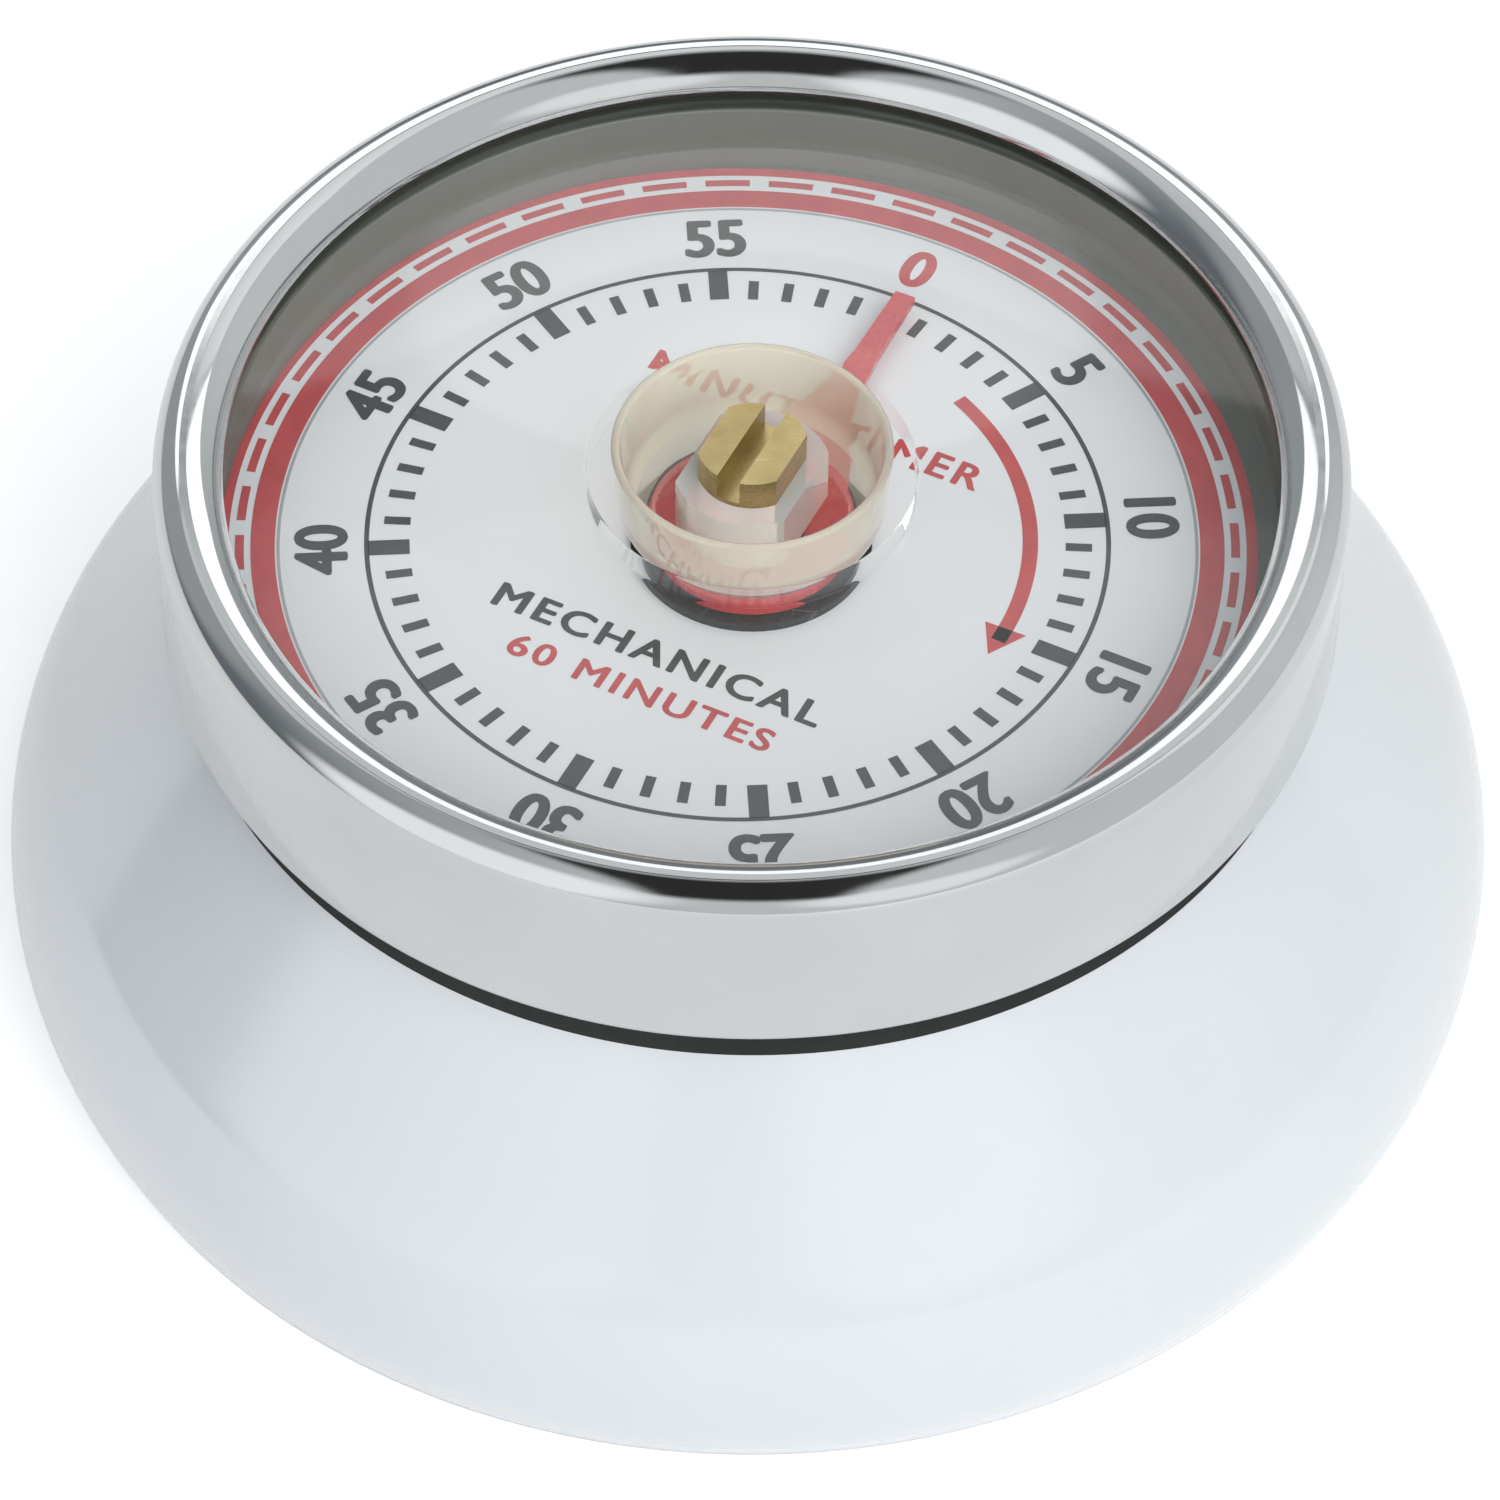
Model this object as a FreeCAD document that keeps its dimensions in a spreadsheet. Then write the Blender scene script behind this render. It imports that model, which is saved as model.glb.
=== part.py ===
import FreeCAD, Part

import math
import os
import re

import Sketcher

# A wind-up kitchen timer with a magnetic back, in millimetres, +Z up. The origin is the middle of the
# face that it rests on. The dial's 0 mark and the pointer lie along +Y, and minutes run clockwise.

DIMENSIONS = {
    # case shell, spun from sheet
    "rim_radius": 35.0,
    "rim_height": 3.8,
    "base_tuck": 0.8,
    "shoulder_round": 11.0,
    "neck_inset": 2.3,
    "neck_height": 1.1,
    "wall": 1.0,
    "flange_thickness": 0.8,
    # bezel, lens, gasket, inner wall and dial, stacked on the case's flange
    "bezel_radius": 26.8,
    "bezel_wall": 0.8,
    "bezel_crown": 1.5,
    "bezel_rise": 1.55,
    "bezel_lip": 0.3,
    "lip_width": 3.15,
    "lip_round": 2.6,
    "bezel_hem": 0.25,
    "gasket_thickness": 0.25,
    "gasket_show": 0.15,
    "lens_thickness": 1.5,
    "knob_gap": 1.05,
    "seat_gap": 0.05,
    "inner_wall_thickness": 1.85,
    "inner_wall_height": 3.75,
    "dial_thickness": 0.5,
    # knob, pointer and the nut under them
    "nut_wall": 2.3,
    "nut_thickness": 0.45,
    "pointer_gap": 0.15,
    "pointer_thickness": 0.4,
    "pointer_reach": 16.4,
    "pointer_tip": 1.0,
    "pointer_waist": 1.15,
    "pointer_waist_reach": 12.2,
    "pointer_hub": 5.0,
    "pointer_flare": 20.0,
    "knob_radius": 6.35,
    "knob_foot_taper": 1.45,
    "knob_taper": 0.23,
    "knob_skirt_height": 2.6,
    "knob_round": 4.6,
    "knob_wall": 0.42,
    "knob_floor": 1.2,
    "knob_below_bezel": 0.5,
    "boss_wall": 1.05,
    "boss_flat_wall": 0.75,
    "boss_height": 3.3,
    # main arbor
    "arbor_radius": 2.5,
    "arbor_flats": 3.9,
    "arbor_slot": 1.1,
    "arbor_slot_depth": 1.3,
    "arbor_lower": 2.0,
    "arbor_pivot": 1.0,
    "bush_wall": 0.65,
    "bush_flange": 6.0,
    "bush_flange_height": 0.95,
    "running_gap": 0.05,
    # back cover, magnet and what holds them
    "cover_thickness": 0.7,
    "cover_height": 0.6,
    "cover_gap": 0.1,
    "magnet_radius": 12.0,
    "magnet_thickness": 2.0,
    "bracket_angle": 12.0,
    "bracket_depth": 5.0,
    "bracket_thickness": 1.0,
    "bracket_gap": 0.15,
    "cover_screw_inset": 3.2,
    "screw_shank": 0.8,
    "screw_head": 1.5,
    "screw_head_height": 0.5,
    # movement frame
    "plate_thickness": 0.8,
    "rear_plate_height": 7.2,
    "plate_spacing": 7.0,
    "front_plate_thickness": 1.0,
    "pillar_radius": 1.5,
    "pillar_clear": 2.8,
    "plate_edge": 0.2,
    "barrel_radius": 17.0,
    "barrel_height": 5.0,
    "barrel_wall": 0.6,
    "lid_thickness": 0.5,
    "spring_turns": 7.0,
    "spring_strip": 0.3,
    "spring_inner_gap": 0.6,
    # bell
    "bell_radius": 18.0,
    "bell_sheet": 0.6,
    "bell_height": 3.4,
    "bell_round": 2.2,
    "bell_gap": 0.55,
    "bell_post": 1.6,
    # wheel train: teeth, modules, heights above the rear plate
    "wheel_teeth": 80,
    "third_teeth": 60,
    "pinion_teeth": 10,
    "great_module": 0.3,
    "fine_module": 0.25,
    "pinion_shift": 0.42,
    "tooth_play": 0.025,
    "great_thickness": 1.0,
    "wheel_thickness": 0.6,
    "great_level": 4.4,
    "second_level": 2.2,
    "third_level": 0.6,
    "pinion_margin": 0.45,
    "staff_radius": 0.75,
    "pivot_radius": 0.45,
    "end_shake": 0.1,
    "second_direction": 200.0,
    "third_direction": 309.0,
    "escape_direction": 351.0,
    "anchor_direction": 20.0,
    # ratchet and click on the great wheel, and the stop that limits the turn
    "ratchet_teeth": 24,
    "ratchet_radius": 5.0,
    "ratchet_depth": 0.7,
    "ratchet_thickness": 0.6,
    "ratchet_gap": 0.1,
    "click_pivot_circle": 6.5,
    "click_pivot_angle": -40.0,
    "click_eye": 1.1,
    "click_width": 0.8,
    "stop_circle": 10.5,
    "stop_pin": 0.3,
    "stop_height": 1.0,
    "lug_width": 0.45,
    "lug_depth": 1.3,
    "stop_angle": 3.0,
    # escapement
    "escape_teeth": 20,
    "escape_radius": 4.5,
    "escape_depth": 1.0,
    "escape_level": 2.4,
    "pallet_radius": 0.25,
    "pallet_gap": 0.12,
    "pallet_span": 45.0,
    "anchor_level": 3.3,
    "anchor_thickness": 0.5,
    "anchor_width": 1.1,
    "anchor_hub": 1.5,
    "balance_radius": 4.8,
    "balance_rim": 0.9,
    "balance_level": 0.6,
    "balance_thickness": 0.8,
    # alarm cam and hammer
    "cam_radius": 5.0,
    "cam_notch": 1.2,
    "cam_notch_angle": 28.0,
    "cam_level": 0.7,
    "cam_thickness": 0.8,
    "nose_radius": 0.4,
    "nose_gap": 0.12,
    "nose_finger": 1.0,
    "hammer_clear": 1.576,
    "hammer_direction": 60.0,
    "hammer_width": 1.5,
    "hammer_hub": 1.9,
    "hammer_thickness": 0.6,
    "hammer_reach": 8.0,
    "hammer_turn": 155.0,
    "hammer_stem": 0.5,
    "hammer_head": 1.0,
    "hammer_head_height": 1.8,
    "stem_hole": 1.3,
}

REAR_TOP = "(rear_plate_height + plate_thickness)"
FRONT_BOTTOM = f"({REAR_TOP} + plate_spacing)"
FRONT_TOP = f"({FRONT_BOTTOM} + front_plate_thickness)"
BARREL_TOP = f"({FRONT_TOP} + barrel_height)"
LID_TOP = f"({BARREL_TOP} + lid_thickness)"
BELL_BOTTOM = "(rear_plate_height - bell_gap - bell_height)"
COVER_FLOOR = "(magnet_thickness + cover_thickness)"

# The dial sits on the movement's bush, and the case is as tall as that asks.
DIAL_BOTTOM = f"({LID_TOP} + bush_flange_height)"
DIAL_TOP = f"({DIAL_BOTTOM} + dial_thickness)"
FLANGE_BOTTOM = f"({DIAL_BOTTOM} - flange_thickness)"
NECK = f"({FLANGE_BOTTOM} - neck_height)"
LENS_BOTTOM = f"({DIAL_TOP} + inner_wall_height)"
LENS_TOP = f"({LENS_BOTTOM} + lens_thickness)"
LIP_BOTTOM = f"({LENS_TOP} + gasket_thickness)"
BEZEL_TOP = f"({LIP_BOTTOM} + bezel_rise)"
POINTER_BOTTOM = f"({DIAL_TOP} + nut_thickness + pointer_gap)"
KNOB_BOTTOM = f"({POINTER_BOTTOM} + pointer_thickness)"
KNOB_TOP = f"({BEZEL_TOP} - knob_below_bezel)"

BEZEL_BORE = "(bezel_radius - bezel_wall)"
SEAT_RADIUS = f"({BEZEL_BORE} - seat_gap)"
LIP_RADIUS = "(bezel_radius - lip_width)"
NECK_RADIUS = "(bezel_radius - neck_inset)"
BASE = "(rim_radius - base_tuck)"

# The flank is the tangent from the shoulder's arc to the foot of the neck.
ARC_TO_NECK = (f"({NECK_RADIUS} - rim_radius + shoulder_round)", f"({NECK} - rim_height)")
ARC_TO_NECK_LENGTH = f"sqrt({ARC_TO_NECK[0]} ^ 2 + {ARC_TO_NECK[1]} ^ 2)"
FLANK_ANGLE = (f"(90 - (atan({ARC_TO_NECK[0]} / {ARC_TO_NECK[1]})"
               f" + acos(shoulder_round / {ARC_TO_NECK_LENGTH})) / 1 deg)")
SHOULDER_RADIUS = f"(rim_radius - shoulder_round * (1 - cos({FLANK_ANGLE})))"
SHOULDER_TOP = f"(rim_height + shoulder_round * sin({FLANK_ANGLE}))"

GREAT_PITCH = "(wheel_teeth * great_module / 2)"
GREAT_CENTRES = "((wheel_teeth + pinion_teeth) * great_module / 2)"
SECOND_CENTRES = "((wheel_teeth + pinion_teeth) * fine_module / 2)"
THIRD_CENTRES = "((third_teeth + pinion_teeth) * fine_module / 2)"
PALLET_CIRCLE = "(escape_radius + pallet_radius + pallet_gap)"
ANCHOR_CENTRES = f"({PALLET_CIRCLE} / cos(pallet_span))"


def step_from(spot, distance, direction):
    return (f"({spot[0]} + {distance} * cos({direction}))",
            f"({spot[1]} + {distance} * sin({direction}))")


CENTRE = ("0", "0")
SECOND = step_from(CENTRE, GREAT_CENTRES, "second_direction")
THIRD = step_from(SECOND, SECOND_CENTRES, "third_direction")
ESCAPE = step_from(THIRD, THIRD_CENTRES, "escape_direction")
ANCHOR = step_from(ESCAPE, ANCHOR_CENTRES, "anchor_direction")
HAMMER_CIRCLE = f"({GREAT_PITCH} + (1 - pinion_shift) * great_module + staff_radius + hammer_clear)"
HAMMER = step_from(CENTRE, HAMMER_CIRCLE, "hammer_direction")
HAMMER_END = step_from(HAMMER, "hammer_reach", "hammer_turn")
PILLAR_CIRCLE = "(barrel_radius + screw_head + pillar_clear)"
PLATE_RADIUS = f"({PILLAR_CIRCLE} + screw_head + plate_edge)"
PILLAR_DIRECTIONS = ("35", "140", "283", "335")
PILLARS = [step_from(CENTRE, PILLAR_CIRCLE, turn) for turn in PILLAR_DIRECTIONS]

doc = FreeCAD.newDocument("kitchen_timer")
sheet = doc.addObject("Spreadsheet::Sheet", "Dims")
for row, (name, size) in enumerate(DIMENSIONS.items(), start=1):
    sheet.set(f"A{row}", name)
    sheet.set(f"B{row}", str(size))
    sheet.setAlias(f"B{row}", name)
doc.recompute()

pieces = {}


def tied(formula):
    """A formula in the sheet's aliases, as an expression that other objects understand."""
    return re.sub(r"[a-z_]+", lambda word: ("Dims." if word[0] in DIMENSIONS else "") + word[0], formula)


def value(formula):
    """A formula's number now, for first guesses and for shapes made in code."""
    found = sheet.evalExpression(tied(formula))
    return getattr(found, "Value", found)


def bind(item, path, formula):
    item.setExpression(path, tied(formula))


def place(item, at=CENTRE, up="0", turn="0"):
    """Ties a piece's Placement to a spot in the plan, a height and a turn about the vertical."""
    bind(item, ".Placement.Base.x", at[0])
    bind(item, ".Placement.Base.y", at[1])
    bind(item, ".Placement.Base.z", up)
    if turn != "0":
        item.Placement.Rotation = FreeCAD.Rotation(FreeCAD.Vector(0, 0, 1), 1)
        bind(item, ".Placement.Rotation.Angle", turn)
    return item


def piece(name, item):
    """Names a finished sub-part, which becomes a node of the same name."""
    item.Label = name
    pieces[name] = item
    return item


def new_body(name):
    return doc.addObject("PartDesign::Body", f"Body_{name}")


def new_sketch(body, plane):
    sketch = body.newObject("Sketcher::SketchObject", f"Sketch_{body.Name}")
    origin = next(item for item in body.Origin.OriginFeatures if item.Role == plane)
    sketch.AttachmentSupport = [(origin, "")]
    sketch.MapMode = "FlatFace"
    return sketch


def constrain(sketch, *constraint, formula=None):
    """Adds a constraint and ties it to a formula. A guess stands in until the sheet is read."""
    if formula is not None:
        constraint += (value(formula),)
    index = sketch.addConstraint(Sketcher.Constraint(*constraint))
    if formula is not None:
        bind(sketch, f"Constraints[{index}]", formula)


def fix_point(sketch, edge, end, spot):
    """Holds a point of an edge at a spot given by two formulas."""
    constrain(sketch, "DistanceX", -1, 1, edge, end, formula=spot[0])
    constrain(sketch, "DistanceY", -1, 1, edge, end, formula=spot[1])


def draw_outline(sketch, outline):
    """Draws a closed outline of straight edges and arcs.

    Each entry is (x, y) for a straight edge to that point, or (x, y, radius) for an arc to it, which
    turns left for a plain radius and right for one with a minus sign.
    """
    count = len(outline)
    ends = []
    for index, entry in enumerate(outline):
        before = [value(size) for size in outline[index - 1][:2]]
        after = [value(size) for size in entry[:2]]
        start = FreeCAD.Vector(*before, 0)
        end = FreeCAD.Vector(*after, 0)
        if len(entry) == 2:
            edge = sketch.addGeometry(Part.LineSegment(start, end), False)
            ends.append((edge, 1, 2))
            continue
        left = not entry[2].startswith("-")
        radius = entry[2].lstrip("-")
        chord = end - start
        reach = math.sqrt(max(value(radius) ** 2 - (chord.Length / 2) ** 2, 0))
        side = FreeCAD.Vector(-chord.y, chord.x, 0).normalize() * (reach if left else -reach)
        centre = (start + end) * 0.5 + side
        if not left:
            start, end = end, start
        angles = [math.atan2(point.y - centre.y, point.x - centre.x) for point in (start, end)]
        circle = Part.Circle(centre, FreeCAD.Vector(0, 0, 1), value(radius))
        edge = sketch.addGeometry(Part.ArcOfCircle(circle, angles[0], angles[1]), False)
        constrain(sketch, "Radius", edge, formula=radius)
        ends.append((edge, 1, 2) if left else (edge, 2, 1))
    for index, (edge, first, last) in enumerate(ends):
        following = ends[(index + 1) % count]
        constrain(sketch, "Coincident", edge, last, following[0], following[1])
        fix_point(sketch, edge, last, outline[index][:2])


def draw_circle(sketch, spot, radius):
    centre = FreeCAD.Vector(value(spot[0]), value(spot[1]), 0)
    circle = Part.Circle(centre, FreeCAD.Vector(0, 0, 1), value(radius))
    edge = sketch.addGeometry(circle, False)
    constrain(sketch, "Radius", edge, formula=radius)
    fix_point(sketch, edge, 3, spot)


def turned(name, outline, angle=360):
    """A body of revolution about the vertical, from (radius, height) points."""
    body = new_body(name)
    sketch = new_sketch(body, "XZ_Plane")
    draw_outline(sketch, outline)
    solid = body.newObject("PartDesign::Revolution", f"Turn_{name}")
    solid.Profile = sketch
    solid.ReferenceAxis = (sketch, ["V_Axis"])
    solid.Angle = angle
    body.Tip = solid
    return body


def ring(name, inner, outer, bottom, top):
    return turned(name, [(inner, bottom), (outer, bottom), (outer, top), (inner, top)])


def padded(name, bottom, thickness, outline=None, radius=None, holes=()):
    """A flat piece of an even thickness, from an outline or a disc, with round holes."""
    body = new_body(name)
    sketch = new_sketch(body, "XY_Plane")
    bind(sketch, ".AttachmentOffset.Base.z", bottom)
    if outline:
        draw_outline(sketch, outline)
    else:
        draw_circle(sketch, CENTRE, radius)
    for spot, size in holes:
        draw_circle(sketch, spot, size)
    solid = body.newObject("PartDesign::Pad", f"Pad_{name}")
    solid.Profile = sketch
    bind(solid, "Length", thickness)
    body.Tip = solid
    return body


def cylinder(radius, height, at=CENTRE, up="0"):
    rod = doc.addObject("Part::Cylinder", "Rod")
    bind(rod, "Radius", radius)
    bind(rod, "Height", height)
    return place(rod, at, up)


def box(length, width, height, at=CENTRE, up="0", turn="0"):
    """A block that runs from a spot along a direction, its width centred on that line."""
    block = doc.addObject("Part::Box", "Block")
    bind(block, "Length", length)
    bind(block, "Width", width)
    bind(block, "Height", height)
    corner = (f"({at[0]} + {width} / 2 * sin({turn}))", f"({at[1]} - {width} / 2 * cos({turn}))")
    return place(block, corner, up, turn)


def fused(*items):
    joined = doc.addObject("Part::MultiFuse", "Joined")
    joined.Shapes = list(items)
    return joined


def cut(base, *tools):
    result = doc.addObject("Part::Cut", "Cut")
    result.Base = base
    result.Tool = tools[0] if len(tools) == 1 else fused(*tools)
    return result


def group(*items):
    """Like pieces that share a node, each its own solid."""
    together = doc.addObject("Part::Compound", "Group")
    together.Links = list(items)
    return together


def made(name, shape):
    """A piece whose shape is worked out in code from the sheet's sizes."""
    item = doc.addObject("Part::Feature", f"Made_{name}")
    item.Shape = shape
    return item


def polar(radius, degrees):
    turn = math.radians(degrees)
    return FreeCAD.Vector(radius * math.cos(turn), radius * math.sin(turn), 0)


def flat_face(points, holes=()):
    """A plane face inside a closed run of points, less round holes given as (centre, radius)."""
    outer = Part.makePolygon([*points, points[0]])
    inner = [Part.Wire(Part.makeCircle(size, centre)) for centre, size in holes]
    face = Part.Face(outer)
    for wire in inner:
        face = face.cut(Part.Face(wire))
    return face


def raised(face, thickness):
    return face.Faces[0].extrude(FreeCAD.Vector(0, 0, thickness))


# Case shell: one sheet with an upright rounded rim, a straight flank, a neck and a flange for the dial.
BASE_ROUND = "((base_tuck ^ 2 + rim_height ^ 2) / (2 * base_tuck))"
INNER_SHOULDER = (f"({SHOULDER_RADIUS} - wall * cos({FLANK_ANGLE}))",
                  f"({SHOULDER_TOP} - wall * sin({FLANK_ANGLE}))")
INNER_NECK_RADIUS = f"({NECK_RADIUS} - wall)"
INNER_NECK = f"({INNER_SHOULDER[1]} + ({INNER_SHOULDER[0]} - {INNER_NECK_RADIUS}) / tan({FLANK_ANGLE}))"
piece("case_shell", turned("case_shell", [
    (BASE, "0"),
    ("rim_radius", "rim_height", BASE_ROUND),
    (SHOULDER_RADIUS, SHOULDER_TOP, "shoulder_round"),
    (NECK_RADIUS, NECK),
    (NECK_RADIUS, FLANGE_BOTTOM),
    (SEAT_RADIUS, FLANGE_BOTTOM),
    (SEAT_RADIUS, DIAL_BOTTOM),
    (INNER_NECK_RADIUS, DIAL_BOTTOM),
    (INNER_NECK_RADIUS, INNER_NECK),
    INNER_SHOULDER,
    ("(rim_radius - wall)", "rim_height", "-(shoulder_round - wall)"),
    (f"({BASE} - wall)", "0", f"-{BASE_ROUND}"),
]))

# Bezel: a rolled ring over the flange, its lip pressing the gasket on the lens.
piece("bezel_ring", turned("bezel_ring", [
    ("(bezel_radius - bezel_hem)", NECK),
    ("bezel_radius", f"({NECK} + bezel_hem)", "bezel_hem"),
    ("bezel_radius", f"({BEZEL_TOP} - bezel_crown)"),
    ("(bezel_radius - bezel_crown)", BEZEL_TOP, "bezel_crown"),
    (LIP_RADIUS, f"({LIP_BOTTOM} + bezel_lip)", "lip_round"),
    (LIP_RADIUS, LIP_BOTTOM),
    (f"({LIP_RADIUS} + bezel_wall)", LIP_BOTTOM),
    ("(bezel_radius - bezel_crown)", f"({BEZEL_TOP} - bezel_wall)", "-lip_round"),
    (BEZEL_BORE, f"({BEZEL_TOP} - bezel_crown)", "-(bezel_crown - bezel_wall + 0.05)"),
    (BEZEL_BORE, NECK),
]))
piece("lens_gasket", ring("lens_gasket", f"({LIP_RADIUS} + gasket_show)", SEAT_RADIUS, LENS_TOP, LIP_BOTTOM))
piece("lens", ring("lens", "(knob_radius + knob_gap)", SEAT_RADIUS, LENS_BOTTOM, LENS_TOP))
INNER_WALL_RADIUS = f"({BEZEL_BORE} - inner_wall_thickness)"
piece("inner_wall_ring", ring("inner_wall_ring", INNER_WALL_RADIUS, SEAT_RADIUS, DIAL_TOP, LENS_BOTTOM))
BUSH_RADIUS = "(arbor_radius + running_gap + bush_wall)"
piece("dial_plate", padded("dial_plate", DIAL_BOTTOM, "dial_thickness", radius=SEAT_RADIUS,
                           holes=[(CENTRE, BUSH_RADIUS)]))

# Threaded bush from the barrel's lid up through the dial, and the nut that clamps the dial on it.
piece("dial_bush", turned("dial_bush", [
    ("(arbor_radius + running_gap)", LID_TOP),
    ("bush_flange", LID_TOP),
    ("bush_flange", DIAL_BOTTOM),
    (BUSH_RADIUS, DIAL_BOTTOM),
    (BUSH_RADIUS, f"({DIAL_TOP} + nut_thickness)"),
    ("(arbor_radius + running_gap)", f"({DIAL_TOP} + nut_thickness)"),
]))
piece("dial_nut", ring("dial_nut", BUSH_RADIUS, f"({BUSH_RADIUS} + nut_wall)", DIAL_TOP,
                       f"({DIAL_TOP} + nut_thickness)"))

# Pointer: a stamped arm that flares into its hub disc.
HUB_SIDE = "(pointer_hub * cos(50))"
HUB_FRONT = "(pointer_hub * sin(50))"
piece("pointer", padded("pointer", POINTER_BOTTOM, "pointer_thickness", outline=[
    ("(-pointer_tip / 2)", "pointer_reach"),
    ("(pointer_tip / 2)", "pointer_reach"),
    ("(pointer_waist / 2)", "pointer_waist_reach"),
    (HUB_SIDE, HUB_FRONT, "pointer_flare"),
    ("0", "(-pointer_hub)", "-pointer_hub"),
    (f"(-{HUB_SIDE})", HUB_FRONT, "-pointer_hub"),
    ("(-pointer_waist / 2)", "pointer_waist_reach", "pointer_flare"),
], holes=[(CENTRE, "arbor_radius")]))

# Knob: a clear cup with a boss that has two flats along the pointer, bored for the arbor's flatted end.
KNOB_FOOT = "(knob_radius - knob_foot_taper)"
KNOB_SKIRT = "(knob_radius - knob_taper)"
BOSS_RADIUS = "(arbor_radius + boss_wall)"
BOSS_WIDTH = "(arbor_flats + 2 * boss_flat_wall)"
knob = turned("knob", [
    ("0", KNOB_BOTTOM),
    (KNOB_FOOT, KNOB_BOTTOM),
    (KNOB_SKIRT, f"({KNOB_BOTTOM} + knob_skirt_height)", "knob_round"),
    ("knob_radius", f"({KNOB_TOP} - knob_wall / 2)"),
    ("(knob_radius - knob_wall)", f"({KNOB_TOP} - knob_wall / 2)", "(knob_wall / 2 + 0.0001)"),
    (f"({KNOB_SKIRT} - knob_wall)", f"({KNOB_BOTTOM} + knob_skirt_height)"),
    (f"({KNOB_FOOT} - knob_wall)", f"({KNOB_BOTTOM} + knob_floor)", "-knob_round"),
    ("0", f"({KNOB_BOTTOM} + knob_floor)"),
])


def flatted(radius, width):
    """The outline of a round bar with two flats along Y."""
    half = f"({width} / 2)"
    rise = f"(sqrt({radius} ^ 2 - {half} ^ 2))"
    return [(half, rise), (f"(-{half})", rise, radius), (f"(-{half})", f"(-{rise})"),
            (half, f"(-{rise})", radius)]


boss_sketch = new_sketch(knob, "XY_Plane")
bind(boss_sketch, ".AttachmentOffset.Base.z", f"({KNOB_BOTTOM} + knob_floor)")
draw_outline(boss_sketch, flatted(BOSS_RADIUS, BOSS_WIDTH))
boss = knob.newObject("PartDesign::Pad", "KnobBoss")
boss.Profile = boss_sketch
bind(boss, "Length", "(boss_height - knob_floor)")
bore_sketch = new_sketch(knob, "XY_Plane")
bind(bore_sketch, ".AttachmentOffset.Base.z", KNOB_BOTTOM)
draw_outline(bore_sketch, flatted("arbor_radius", "arbor_flats"))
bore = knob.newObject("PartDesign::Pocket", "KnobBore")
bore.Profile = bore_sketch
bore.Reversed = True
bind(bore, "Length", "(boss_height + knob_floor)")
knob.Tip = bore
piece("knob", knob)

# Main arbor: brass, stepped, with two flats and a screwdriver slot in the knob's end.
arbor_blank = turned("main_arbor", [
    ("0", "(rear_plate_height + end_shake)"),
    ("arbor_pivot", "(rear_plate_height + end_shake)"),
    ("arbor_pivot", f"({REAR_TOP} + end_shake)"),
    ("arbor_lower", f"({REAR_TOP} + end_shake)"),
    ("arbor_lower", f"({FRONT_TOP} + end_shake)"),
    ("arbor_radius", f"({FRONT_TOP} + end_shake)"),
    ("arbor_radius", KNOB_TOP),
    ("0", KNOB_TOP),
])
FLAT_DEPTH = "(arbor_radius - arbor_flats / 2)"
FLAT_HEIGHT = f"({KNOB_TOP} - {KNOB_BOTTOM})"
side_cuts = [box(FLAT_DEPTH, "(3 * arbor_radius)", FLAT_HEIGHT, (f"({side} * arbor_flats / 2)", "0"),
                 KNOB_BOTTOM, turn)
             for side, turn in (("1", "0"), ("(-1)", "180"))]
slot_cut = box("(4 * arbor_radius)", "arbor_slot", "arbor_slot_depth", ("0", "(-2 * arbor_radius)"),
               f"({KNOB_TOP} - arbor_slot_depth)", "90")
piece("main_arbor", cut(arbor_blank, *side_cuts, slot_cut))

# Back cover: a dished disc with a pocket for the magnet, screwed to three brackets in the case.
COVER_RADIUS = f"({BASE} - wall - cover_gap)"
POCKET = "(magnet_radius + cover_gap)"
COVER_TOP = "(cover_height + cover_thickness)"
cover_disc = turned("back_cover", [
    (POCKET, "cover_height"),
    (COVER_RADIUS, "cover_height"),
    (COVER_RADIUS, COVER_TOP),
    (f"({POCKET} + cover_thickness)", COVER_TOP),
    (f"({POCKET} + cover_thickness)", COVER_FLOOR),
    ("0", COVER_FLOOR),
    ("0", "magnet_thickness"),
    (POCKET, "magnet_thickness"),
])
SCREW_CIRCLE = f"({COVER_RADIUS} - cover_screw_inset)"
SCREW_DIRECTIONS = ("90", "210", "330")
COVER_SCREWS = [step_from(CENTRE, SCREW_CIRCLE, turn) for turn in SCREW_DIRECTIONS]
cover_holes = [cylinder("(screw_shank + running_gap)", COVER_TOP, spot) for spot in COVER_SCREWS]
piece("back_cover", cut(cover_disc, *cover_holes))
piece("magnet", padded("magnet", "0", "magnet_thickness", radius="magnet_radius"))
BRACKET_OUTER = f"({BASE} - wall + bracket_gap)"
brackets = []
for turn, spot in zip(SCREW_DIRECTIONS, COVER_SCREWS):
    tab = turned(f"bracket_{turn}", [
        (f"({BRACKET_OUTER} - bracket_depth)", COVER_TOP),
        (BRACKET_OUTER, COVER_TOP),
        (BRACKET_OUTER, f"({COVER_TOP} + bracket_thickness)"),
        (f"({BRACKET_OUTER} - bracket_depth)", f"({COVER_TOP} + bracket_thickness)"),
    ])
    bind(tab.Tip, "Angle", "bracket_angle")
    place(tab, turn=f"({turn} - bracket_angle / 2)")
    tap = cylinder("screw_shank", f"({COVER_TOP} + 2 * bracket_thickness)", spot)
    brackets.append(cut(tab, tap))
piece("cover_brackets", group(*brackets))


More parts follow.
